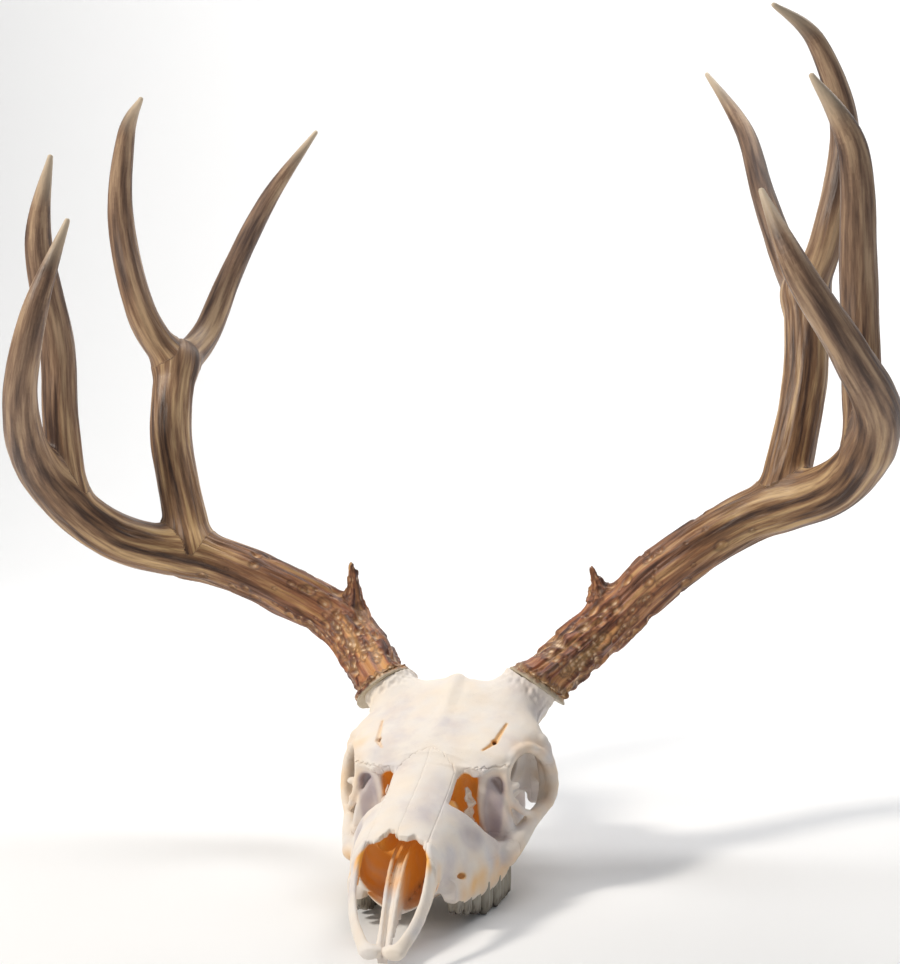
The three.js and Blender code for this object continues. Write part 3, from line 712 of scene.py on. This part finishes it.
def bone_wear_group():
    """The cloudy tone of dry bone, and the relief of its fine pores and grain."""
    group, start, end = effect_group(
        "bone_wear", [("Vector", "NodeSocketVector")],
        [("Cloud", "NodeSocketFloat"), ("Height", "NodeSocketFloat")])
    link = group.links.new
    cloud = node(group, "ShaderNodeTexNoise", (-600, 200), Scale=28.0, Detail=4.0, Roughness=0.55)
    pores = node(group, "ShaderNodeTexVoronoi", (-600, -50), Scale=420.0)
    grain = node(group, "ShaderNodeTexNoise", (-600, -300), Scale=340.0, Detail=3.0, Roughness=0.6)
    for texture in (cloud, pores, grain):
        link(start.outputs["Vector"], texture.inputs["Vector"])
    dots = node(group, "ShaderNodeMapRange", (-350, -50), From_Min=0.05, From_Max=0.28)
    link(pores.outputs["Distance"], dots.inputs["Value"])
    height = node(group, "ShaderNodeMath", (100, -150), operation="ADD")
    link(dots.outputs["Result"], height.inputs[0])
    link(grain.outputs["Fac"], height.inputs[1])
    link(cloud.outputs["Fac"], end.inputs["Cloud"])
    link(height.outputs[0], end.inputs["Height"])
    return group


def antler_grain_group():
    """Streaks that run along an antler, from its own along-and-round coordinates."""
    group, start, end = effect_group(
        "antler_grain", [("Grain", "NodeSocketVector")],
        [("Streaks", "NodeSocketFloat"), ("Height", "NodeSocketFloat")])
    link = group.links.new
    wide = node(group, "ShaderNodeMapping", (-700, 200), Scale=(0.16, 0.16, 0.012))
    fine = node(group, "ShaderNodeMapping", (-700, -200), Scale=(0.55, 0.55, 0.035))
    streaks = node(group, "ShaderNodeTexNoise", (-450, 200), Scale=1.0, Detail=5.0, Roughness=0.6)
    fibre = node(group, "ShaderNodeTexNoise", (-450, -200), Scale=1.0, Detail=4.0, Roughness=0.65)
    for mapping, texture in ((wide, streaks), (fine, fibre)):
        link(start.outputs["Grain"], mapping.inputs["Vector"])
        link(mapping.outputs["Vector"], texture.inputs["Vector"])
    total = node(group, "ShaderNodeMath", (0, 0), operation="ADD")
    link(streaks.outputs["Fac"], total.inputs[0])
    link(fibre.outputs["Fac"], total.inputs[1])
    link(streaks.outputs["Fac"], end.inputs["Streaks"])
    link(total.outputs[0], end.inputs["Height"])
    return group


def bump(tree, shader, height, strength, distance):
    made = node(tree, "ShaderNodeBump", (-200, -350), Strength=strength, Distance=distance)
    tree.links.new(height, made.inputs["Height"])
    tree.links.new(made.outputs["Normal"], shader.inputs["Normal"])


def worn_material(name, roughness, specular, wear):
    """A material with the bone wear group placed in it, by the mesh's own coordinates."""
    material, tree, shader = new_material(name, roughness, specular)
    place = node(tree, "ShaderNodeTexCoord", (-1300, 0))
    group = node(tree, "ShaderNodeGroup", (-1050, 0), node_tree=wear)
    tree.links.new(place.outputs["Object"], group.inputs["Vector"])
    return material, tree, shader, group


def bone_material(wear):
    material, tree, shader, group = worn_material("bleached_bone", 0.55, 0.4, wear)
    tone = ramp(tree, (-800, 150), [
        (0.32, (0.66, 0.62, 0.63)), (0.48, (0.80, 0.75, 0.70)), (0.66, (0.85, 0.775, 0.68)),
    ])
    tree.links.new(group.outputs["Cloud"], tone.inputs["Fac"])
    # The mauve grey layer is painted shade, in the tear pits, beside the nose and down the nasal bones.
    color = stained(tree, tone.outputs["Color"], [
        # The warm yellow layer is yellowed bone, and painted shade in the forehead slits and small holes.
        ("warmth", (0.86, 0.55, 0.26)), ("cool", (0.43, 0.37, 0.40)), ("inside", (0.84, 0.43, 0.09)),
        # The dark taupe layer is painted shade deep in the orbits.
        ("hollow", (0.36, 0.28, 0.22)),
    ])
    tree.links.new(color, shader.inputs["Base Color"])
    # The orange inside the nose is partly the bone's own colour and partly painted light: its brightness and
    # a faint glow stand in for light shining through the thin bone.
    inside = attribute(tree, (-800, -550), "inside")
    painted_glow = mix(tree, (-300, -550), inside.outputs["Fac"], (0.0, 0.0, 0.0), (0.85, 0.36, 0.05))
    tree.links.new(painted_glow, shader.inputs["Emission Color"])
    shader.inputs["Emission Strength"].default_value = 0.10
    bump(tree, shader, group.outputs["Height"], 0.3, 0.0004)
    return material


def tooth_material(wear):
    material, tree, shader, group = worn_material("tooth_enamel", 0.35, 0.5, wear)
    color = mix(tree, (-700, 100), group.outputs["Cloud"], (0.24, 0.215, 0.17), (0.44, 0.40, 0.32))
    color = stained(tree, color, [("stain", (0.07, 0.05, 0.04))])
    tree.links.new(color, shader.inputs["Base Color"])
    bump(tree, shader, group.outputs["Height"], 0.2, 0.0003)
    return material


def antler_material(grain):
    """Dark streaks on red brown at the burr, on golden brown along the beam and on grey in the tines."""
    material, tree, shader = new_material("antler", 0.42, 0.42)
    coordinates = attribute(tree, (-1500, 0), "grain")
    group = node(tree, "ShaderNodeGroup", (-1250, 0), node_tree=grain)
    tree.links.new(coordinates.outputs["Vector"], group.inputs["Grain"])
    root = ramp(tree, (-950, 400), [
        (0.36, (0.080, 0.022, 0.012)), (0.5, (0.37, 0.130, 0.058)), (0.64, (0.68, 0.35, 0.13)),
    ])
    beam = ramp(tree, (-950, 150), [
        (0.36, (0.055, 0.024, 0.012)), (0.5, (0.27, 0.140, 0.062)), (0.64, (0.64, 0.42, 0.20)),
    ])
    tine = ramp(tree, (-950, -100), [
        (0.36, (0.075, 0.040, 0.026)), (0.5, (0.235, 0.14, 0.085)), (0.66, (0.50, 0.34, 0.21)),
    ])
    for made in (root, beam, tine):
        tree.links.new(group.outputs["Streaks"], made.inputs["Fac"])
    age = attribute(tree, (-1750, -350), "age")
    color = root.outputs["Color"]
    for k, (low, high, later) in enumerate((
            (0.12, 0.36, beam.outputs["Color"]), (0.40, 0.75, tine.outputs["Color"]),
            (0.93, 1.0, (0.62, 0.50, 0.36)))):
        share = node(tree, "ShaderNodeMapRange", (-1500 + 150 * k, -350), From_Min=low, From_Max=high)
        tree.links.new(age.outputs["Fac"], share.inputs["Value"])
        color = mix(tree, (-1000 + 130 * k, 600), share.outputs["Result"], color, later)
    # The near-black layer is painted shade deep in the furrows and round the pearls' feet.
    color = stained(tree, color, [
        ("ridge", (0.68, 0.38, 0.15)), ("crest", (0.86, 0.64, 0.42)), ("furrow", (0.030, 0.011, 0.007)),
        ("underside", (0.55, 0.47, 0.34)),
    ])
    tree.links.new(color, shader.inputs["Base Color"])
    bump(tree, shader, group.outputs["Height"], 0.6, 0.0009)
    return material


# ---------------------------------------------------------------- antlers
PEARL_SEEDS = {1: 11, -1: 23}     # by side
BEAM_PEARLS = 400                 # tries along the beam: most of those far from the burr are left out
RIM_PEARLS = 44
BROW_PEARLS = 40
BRANCH_SPACING = 4.0              # between the samples of a branch
ANTLER_MARGIN = 30                # of the grid round the branches' centre lines
ANTLER_BLOCK = 32                 # voxels to a side of the blocks that the grid is filled in


def branch_samples(stations):
    """Centre points, radii, and two directions across the branch that don't twist."""
    rough = along(stations, np.linspace(0, len(stations) - 1, 200))
    length = np.concatenate([[0], np.cumsum(np.linalg.norm(np.diff(rough[:, :3], axis=0), axis=1))])
    count = max(4, int(length[-1] / BRANCH_SPACING))
    targets = np.linspace(0, length[-1], count + 1)
    points = np.stack([np.interp(targets, length, rough[:, k]) for k in range(4)], axis=1)
    headings = np.gradient(points[:, :3], axis=0)
    headings /= np.linalg.norm(headings, axis=1)[:, None]
    across = np.zeros((len(points), 3))
    guide = np.cross(headings[0], (0.0, 1.0, 0.0))
    for k, heading in enumerate(headings):
        guide = guide - heading * guide.dot(heading)
        guide = guide / np.linalg.norm(guide)
        across[k] = guide
    over = np.cross(headings, across)
    return {"points": points, "length": targets, "across": across, "over": over, "headings": headings}


def antler_mesh(branches, burr_center, burr_heading):
    """Points and quads of the branches joined with fillets, evaluated only near them."""
    voxel = ANTLER_VOXEL
    centers = np.concatenate([b["points"][:, :3] for b in branches])
    low = centers.min(axis=0) - ANTLER_MARGIN
    count = np.ceil((centers.max(axis=0) + ANTLER_MARGIN - low) / voxel).astype(int)
    grid = openvdb.FloatGrid(REACH * voxel)
    half = ANTLER_BLOCK * voxel / 2
    offsets = np.arange(ANTLER_BLOCK) * voxel
    for first in product(*(range(0, n, ANTLER_BLOCK) for n in count)):
        corner = low + np.array(first) * voxel
        middle = corner + half
        if np.abs(centers - middle).max(axis=1).min() > half + ANTLER_MARGIN + 4:
            continue
        x, y, z = (corner[n] + offsets for n in range(3))
        x, y, z = x[:, None, None], y[None, :, None], z[None, None, :]
        whole = None
        for branch in branches:
            points = branch["points"]
            near = np.abs(points[:, :3] - middle).max(axis=1) < half + points[:, 3] + 14
            close = np.flatnonzero(near[:-1] | near[1:])
            if len(close) == 0:
                continue
            part = reduce(np.minimum, (rod(x, y, z, points[n], points[n + 1]) for n in close))
            whole = part if whole is None else smooth_min(whole, part, FORK_FILLET)
        if np.linalg.norm(burr_center - middle) < half * 1.8 + ANTLER_MARGIN + 4:
            dx, dy, dz = x - burr_center[0], y - burr_center[1], z - burr_center[2]
            rise = dx * burr_heading[0] + dy * burr_heading[1] + dz * burr_heading[2]
            radial = np.sqrt(np.maximum(dx * dx + dy * dy + dz * dz - rise * rise, 0))
            ring = np.hypot(np.maximum(radial - BURR_RADIUS + 4.5, 0), (rise - 4.0) * 1.05) - 4.6
            whole = ring if whole is None else smooth_min(whole, ring, 5)
            whole = np.maximum(whole, 0.2 - rise)
        if whole is not None:
            fill(grid, whole, voxel, first)
    return surface_of(grid, low, voxel)


def nearest_branch(points, branches):
    """For each point: how far along, the direction round the branch, its radius, and which branch."""
    best = np.full(len(points), 1e9)
    result = {key: np.zeros(len(points)) for key in ("along", "round_x", "round_y", "radius", "branch")}
    for number, branch in enumerate(branches):
        samples = branch["points"]
        for first in range(0, len(points), 20000):
            some = points[first:first + 20000]
            gap2 = ((some[:, None, :] - samples[None, :, :3]) ** 2).sum(axis=2)
            close = gap2.argmin(axis=1)
            offset = some - samples[close, :3]
            slide = (offset * branch["headings"][close]).sum(axis=1)
            side_x = (offset * branch["across"][close]).sum(axis=1)
            side_y = (offset * branch["over"][close]).sum(axis=1)
            gap = np.sqrt(gap2[np.arange(len(some)), close]) - samples[close, 3]
            rows = np.arange(first, first + len(some))
            nearer = gap < best[rows]
            rows = rows[nearer]
            best[rows] = gap[nearer]
            reach = np.maximum(np.hypot(side_x, side_y), 1e-6)
            result["along"][rows] = (branch["length"][close] + slide)[nearer]
            result["round_x"][rows] = (side_x / reach)[nearer]
            result["round_y"][rows] = (side_y / reach)[nearer]
            result["radius"][rows] = samples[close, 3][nearer]
            result["branch"][rows] = number
    return result


def outward(turn, first, second):
    """The direction at an angle from the first of two directions to the second."""
    return math.cos(turn) * first + math.sin(turn) * second


def pearl_places(seed, branches, center, facing):
    """Places, directions and sizes of the pearls: crowded near the burr, thinning out along the beam."""
    source = np.random.RandomState(seed)
    beam, brow = branches[:2]
    total = beam["length"][-1]
    places = []
    for _ in range(BEAM_PEARLS):
        spot = 8 + abs(source.normal()) * 80
        if spot > min(300, total * 0.55) or source.rand() < spot / 300:
            continue
        n = min(int(np.searchsorted(beam["length"], spot)), len(beam["length"]) - 1)
        out = outward(source.rand() * 2 * math.pi, beam["across"][n], beam["over"][n])
        place = beam["points"][n, :3] + out * beam["points"][n, 3] * 1.02
        size = (1.2 + 2.4 * source.rand() ** 1.6) * (1.0 - 0.4 * spot / 300)
        places.append((place, beam["headings"][n], size))
    first = beam["across"][0] - facing * facing.dot(beam["across"][0])
    first = first / np.linalg.norm(first)
    second = np.cross(facing, first)
    for k in range(RIM_PEARLS):
        turn = (k + source.uniform(-0.4, 0.4)) * 2 * math.pi / RIM_PEARLS
        out = outward(turn, first, second)
        place = center + facing * source.uniform(2.0, 8.5) + out * (BURR_RADIUS - 0.5)
        places.append((place, facing, source.uniform(2.0, 4.0)))
    for _ in range(BROW_PEARLS):
        n = source.randint(2, len(brow["length"]))
        out = outward(source.rand() * 2 * math.pi, brow["across"][n], brow["over"][n])
        place = brow["points"][n, :3] + out * brow["points"][n, 3]
        places.append((place, brow["headings"][n], source.uniform(1.0, 2.0)))
    return places


def tip_wear(place):
    """How pale a pearl's tip is worn, from 0 to 1, by its place."""
    return float(0.5 + 0.5 * math.sin(place[0] * 1.7 + place[1] * 2.3 + place[2] * 3.1))


def add_pearls(points, places, lift):
    """Raise each pearl in place, and return its worn tip and the ring round its foot where painted shade
    goes.
    """
    crest, ring = np.zeros(len(points)), np.zeros(len(points))
    for place, lie, size in places:
        near = np.flatnonzero(np.abs(points - place).max(axis=1) < size * 3.2)
        away = points[near] - place
        slide = away @ lie
        gap = np.sqrt(np.maximum((away ** 2).sum(axis=1) - slide ** 2, 0) + (slide / 1.35) ** 2) / size
        bead = np.exp(-(gap ** 2.4) * 1.1)
        lift[near] = np.maximum(lift[near], lift[near] * (1 - bead) + size * 1.05 * bead)
        crest[near] = np.maximum(crest[near], ease_between(bead, 0.74, 1.0) * (0.5 + 0.5 * tip_wear(place)))
        ring[near] = np.maximum(ring[near], bell(gap - 1.45, 0.35))
    return crest, ring


def make_antler(word, side, material):
    branches = [branch_samples(stations_on(side, rows)) for rows in BRANCHES]
    center, heading = burr_place(side)
    points, quads = antler_mesh(branches, center, heading)
    spot = nearest_branch(points, branches)
    number, length = spot["branch"].astype(int), spot["along"]
    offset = 50.0 * spot["branch"]
    rx, ry = spot["round_x"] * spot["radius"], spot["round_y"] * spot["radius"]
    share = length / np.array([b["length"][-1] for b in branches])[number]
    age = np.clip(AGE_START[number] + (AGE_END - AGE_START)[number] * share, 0, 1)
    rugged = np.interp(age, [0, 0.1, 0.25, 0.45, 0.8, 1.0], [2.3, 1.8, 1.0, 0.5, 0.28, 0.05])
    furrows = 1 - np.abs(noise(rx / 4.6 + offset, ry / 4.6 + side * 9, length / 55)) * 4.2
    fine = noise(rx / 2.2 + offset, ry / 2.2, length / 20 + 40 * side)
    swell = noise(rx / 11 + offset, ry / 11 + 30, length / 34)
    lift = rugged * (0.95 * np.clip(furrows, -1, 1) + 0.9 * fine + 1.1 * swell)
    crest, ring = add_pearls(points, pearl_places(PEARL_SEEDS[side], branches, center, heading), lift)
    rise = (points - center) @ heading
    radial = np.linalg.norm(points - center - rise[:, None] * heading, axis=1)
    in_burr = bell(rise - 4, 5.5) * ease_between(radial, 17, 21)
    knobs = noise(spot["round_x"] * 3.4 + 5, spot["round_y"] * 3.4 + side, rise / 5)
    under = ease_between(1.6 - rise, 0, 1.2) * ease_between(30 - radial, 0, 4)
    lift = (lift + in_burr * (5.0 * knobs + 0.6)) * (1 - under)
    moved = points + point_normals(points, quads) * lift[:, None]
    antler = mesh_object(f"{word}_antler", moved, quads, material)
    tips = crest * np.interp(age, [0, 0.3, 0.5], [1, 0.8, 0.0]) + in_burr * ease_between(knobs, 0.05, 0.4)
    # Near-black painted shade goes round each pearl's foot and deep in the furrows.
    pearl_foot_shade = ring * (1 - crest) * np.interp(age, [0, 0.3, 0.5], [0.6, 0.5, 0.0])
    keep_values(
        antler, age=age, crest=np.clip(tips, 0, 1), underside=under,
        furrow=np.maximum(ease_between(-lift, 0.3, 1.6) * 0.8, pearl_foot_shade),
        ridge=ease_between(lift, 0.9, 3.0) * np.interp(age, [0, 0.3, 0.5], [0.6, 0.5, 0.1]))
    grain = antler.data.attributes.new("grain", "FLOAT_VECTOR", "POINT")
    grain.data.foreach_set("vector", np.stack([rx + offset, ry, length], axis=1).astype(np.float32).ravel())
    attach(antler, "root")
    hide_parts(*(f"{word}_{part}" for part in (
        "beam_root", "brow_tine", "beam_middle", "beam_tip", "front_tine", "rear_stem", "rear_outer_tine",
        "rear_inner_tine")))


# ---------------------------------------------------------------- teeth
# Each cheek tooth: y and x of its middle, half its width and length, how high it stands, its lobes.
TEETH = [
    (93.5, 30.8, 5.0, 5.4, 10, 1), (104.6, 32.2, 6.0, 5.6, 6, 1), (116, 34.2, 6.8, 5.7, 3, 1),
    (129.6, 36.6, 7.8, 7.7, 0, 2), (146.4, 39.0, 8.5, 8.7, 0, 2), (164.2, 39.8, 8.3, 8.7, 0, 2),
]


def tooth_row(side, x, y, z):
    """Two leaning lobes and an outer rib to each part of a tooth, with a hollow in its worn face."""
    ax = side * straightened(x, y)
    row = None
    for middle_y, cx, wide, long, lift, lobes in TEETH:
        size = 2 * long / lobes
        for lobe in range(lobes):
            middle = middle_y - long + (lobe + 0.5) * size
            outer = ellipsoid(ax, y, z, (cx + 0.42 * wide, middle, 13 + lift), (0.56 * wide, size * 0.53, 15))
            inner = ellipsoid(ax, y, z, (cx - 0.42 * wide, middle, 13 + lift), (0.54 * wide, size * 0.54, 15))
            rib = rod(ax, y, z, (cx + 0.9 * wide, middle, 20 + lift, 1.3),
                      (cx + 0.84 * wide, middle, 3 + lift, 0.9))
            body = smooth_min(smooth_min(outer, inner, 2.5), rib, 1.2)
            wave = 1.5 * np.cos((y - middle) * 2 * math.pi / size) - 1.5
            body = smooth_max(body, lift + 0.05 - z - wave, 0.7)
            body = smooth_max(body, -ellipsoid(ax, y, z, (cx, middle, lift), (1.3, size * 0.27, 4.5)), 0.6)
            row = body if row is None else smooth_min(row, body, 0.3)
    return np.maximum(np.maximum(row, z - 24), 0.02 - z)


def make_teeth(word, side, material):
    """A row of cheek teeth, which has no node of its own: the solids have it in the maxilla."""
    low = np.array([20.0 if side > 0 else -50.0, 82.0, -1.5])
    grid = openvdb.FloatGrid(REACH * TOOTH_VOXEL)
    for corner, x, y, z in slabs(low, low + (30.0, 96.0, 25.5), TOOTH_VOXEL):
        row = tooth_row(side, x, y, z)
        if row.min() < REACH * TOOTH_VOXEL:
            fill(grid, row, TOOTH_VOXEL, corner)
    points, quads = surface_of(grid, low, TOOTH_VOXEL)
    teeth = mesh_object(f"{word}_cheek_teeth", points, quads, material)
    x, y, z = points.T
    lift = np.interp(y, [row[0] for row in TEETH], [row[4] for row in TEETH])
    # The dark layer grows darker towards the grinding faces at the bottom of the teeth, and in random folds.
    dark = ease_between(lift + 9 - z, 0, 8)
    folds = ease_between(noise(x * 0.5, y * 0.9, z * 0.15), -0.1, 0.3)
    keep_values(teeth, stain=np.clip(0.25 * folds + 0.4 * dark + 0.5 * dark * folds, 0, 1))
    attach(teeth, "root")


# ---------------------------------------------------------------- bones
def bone_relief(x, y, z):
    """How far the surface rises: soft unevenness, and a rough collar of bone under each burr."""
    rough = 0.22 * noise(x / 5, y / 5, z / 5) + 0.35 * noise(x / 16, y / 16, z / 16)
    rise = np.where(x > 0, above_burr(1, x, y, z), above_burr(-1, x, y, z))
    collar = bell(rise + 4, 5) * ease_between(np.abs(x), 24, 34)
    rough = rough + collar * (2.6 * noise(x / 3.2, y / 3.2, z / 6) + 0.8)
    return rough * ease_between(z, 0.3, 2.0)


def inside_nose(ax, x, y, z):
    """How orange the bone is, partly its own colour and partly painted light through thin bone: most inside
    the nose, less on the rods and the thin scrolls.
    """
    inside = ease_between(-nasal_cavity(ax, y, z), -0.9, 0.4) * ease_between(y, 50, 64)
    recess = ellipsoid(ax, y, z, (25, 156, 63), (10, 15.5, 22))
    inside = np.maximum(inside, ease_between(-recess, -0.2, 1.0) * ease_between(33 - ax, 0, 3))
    centre = 1 - ease_between(nose_rods(ax, y, z), 0.4, 2.5)
    inside = inside * (1 - 0.5 * centre * ease_between(100 - y, 0, 30)) * ease_between(z, 17, 26)
    shred = bell(scrolls(ax, y, z), 0.9) * ease_between(ax, 22, 24)
    return np.clip(inside * (0.9 + 0.7 * noise(x / 12, y / 12, z / 12)) * (1 - 0.85 * shred), 0, 1)


def bone_warmth(ax, x, y, z):
    """Yellowed patches on the orbit rims, above the teeth and on the snout, and painted shade in the same
    warm colour in the forehead slits and small holes.
    """
    rim = bell(orbit_ring(ax, y, z), 5.0) * 0.4
    cheek = bell(z - 25, 9) * ease_between(y, 84, 96) * ease_between(175 - y, 0, 20) * 0.95
    bar = ease_between(78 - y, 0, 12) * ease_between(0.72 * y + 5 - z, 2, 12) * ease_between(ax, 16, 22) * 0.5
    # Painted shade in the forehead slits and small holes, stronger on the animal's left.
    pit = bell(np.maximum(np.minimum(forehead_groove(ax, y, z), cheek_hole(ax, y, z)), 0), 0.8)
    pit = pit * ease_between(x, -10, 10) + pit * ease_between(-x, -10, 10) * 0.45
    patch = 0.55 + 0.9 * noise(x / 11 + 3, y / 11, z / 11)
    return np.clip((rim + cheek + bar + 0.18) * patch + 0.9 * pit, 0, 1)


def bone_coolness(ax, x, y, z):
    """Painted shade, a mauve grey, in the tear pits, in the hollows beside the nose and down the nasal bones.
    """
    cool = 0.85 * ease_between(3 - tear_pit(ax, y, z), 0, 3) + 0.6 * bell(cheek_fossa(ax, y, z), 3.0)
    nasals = bell(x - 11, 7) * ease_between(y, 84, 100) * ease_between(150 - y, 0, 20) * 0.4
    return (cool + nasals) * (0.85 + 0.7 * noise(x / 9, y / 9 + 4, z / 9))


def orbit_shade_depth(ax, y, z):
    """Painted shade on the bone deep in an orbit, from 0 to 0.9 by how deep it lies."""
    cx, cy, cz = ORBIT["center"]
    socket = ellipsoid(ax, y, z, (cx - 10, cy + 10, cz - 1), (36, 34, 24))
    return ease_between(-socket, -1, 3) * ease_between(61 - ax, 0, 6) * ease_between(y, 165, 172) * 0.9


def make_bones(material):
    for name, (points, quads) in skull_meshes().items():
        x, y, z = points.T
        moved = points + point_normals(points, quads) * bone_relief(x, y, z)[:, None]
        piece = mesh_object(f"{name}_bone", moved, quads, material)
        ax = np.abs(straightened(x, y))
        inside = inside_nose(ax, x, y, z)
        keep_values(
            piece, inside=inside, hollow=orbit_shade_depth(ax, y, z), warmth=bone_warmth(ax, x, y, z),
            cool=np.clip(bone_coolness(ax, x, y, z) * (1 - inside), 0, 1))
        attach(piece, "root")
        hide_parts(name)


# ---------------------------------------------------------------- stage
def make_floor():
    """A pale floor that curves up behind into a plain backdrop."""
    front, back, wide, top, bend = -1.6, 2.2, 2.6, 2.4, 0.9
    profile = [(front, 0.0), (back - bend, 0.0)]
    for turn in np.linspace(0.1, math.pi / 2, 12):
        profile.append((back - bend + bend * math.sin(turn), bend - bend * math.cos(turn)))
    profile.append((back, top))
    points, quads = [], []
    for y, z in profile:
        points += [(-wide, y, z), (wide, y, z)]
    for k in range(len(profile) - 1):
        quads.append((2 * k, 2 * k + 1, 2 * k + 3, 2 * k + 2))
    mesh = bpy.data.meshes.new("floor")
    mesh.from_pydata(points, [], quads)
    for face in mesh.polygons:
        face.use_smooth = True
    floor = bpy.data.objects.new("floor", mesh)
    bpy.context.scene.collection.objects.link(floor)
    material, _, shader = new_material("pale_floor", 0.9, 0.1)
    shader.inputs["Base Color"].default_value = (0.86, 0.86, 0.86, 1.0)
    mesh.materials.append(material)


def make_light(name, place, target, size, watts, color=(1, 1, 1)):
    data = bpy.data.lights.new(name, "AREA")
    data.size = size
    data.energy = watts
    data.color = color
    lamp = bpy.data.objects.new(name, data)
    lamp.location = place
    lamp.rotation_euler = (Vector(target) - Vector(place)).to_track_quat("-Z", "Y").to_euler()
    bpy.context.scene.collection.objects.link(lamp)


def make_lights():
    make_light("key", (-1.45, -1.0, 1.6), (0, 0, 0.2), 0.35, 35, (1.0, 0.94, 0.85))
    make_light("back", (0.6, 1.0, 1.6), (0, 0, 0.25), 1.2, 8, (1.0, 0.98, 0.95))
    make_light("backdrop_wash", (0, 0.7, 1.9), (0, 2.2, 0.6), 1.5, 30)
    world = bpy.data.worlds.new("studio")
    world.use_nodes = True
    world.node_tree.nodes["Background"].inputs["Color"].default_value = (0.90, 0.94, 1.0, 1.0)
    world.node_tree.nodes["Background"].inputs["Strength"].default_value = 0.33
    bpy.context.scene.world = world
    bpy.context.scene.view_settings.view_transform = "Standard"


def make_camera():
    turn, rise, roll = (math.radians(v) for v in (CAMERA_TURN, CAMERA_RISE, CAMERA_ROLL))
    back = Vector((math.sin(turn) * math.cos(rise), -math.cos(turn) * math.cos(rise), math.sin(rise)))
    right = Vector((math.cos(turn), math.sin(turn), 0))
    up = back.cross(right)
    tilted_right = math.cos(roll) * right + math.sin(roll) * up
    tilted_up = -math.sin(roll) * right + math.cos(roll) * up
    data = bpy.data.cameras.new("camera")
    data.sensor_width = SENSOR
    data.lens = FOCAL_PIXELS / LONG_SIDE_PIXELS * SENSOR
    data.clip_start = 0.05
    camera = bpy.data.objects.new("camera", data)
    place = Vector((np.array(CAMERA_PLACE) + SHIFT) * MM)
    axes = Matrix((tilted_right, tilted_up, back)).transposed()
    camera.matrix_world = Matrix.Translation(place) @ axes.to_4x4()
    bpy.context.scene.collection.objects.link(camera)
    bpy.context.scene.camera = camera


def main():
    make_camera()
    make_lights()
    make_floor()
    wear = bone_wear_group()
    enamel = tooth_material(wear)
    antler = antler_material(antler_grain_group())
    make_bones(bone_material(wear))
    for word, side in SIDES:
        make_teeth(word, side, enamel)
        make_antler(word, side, antler)
    bpy.context.view_layer.update()


main()
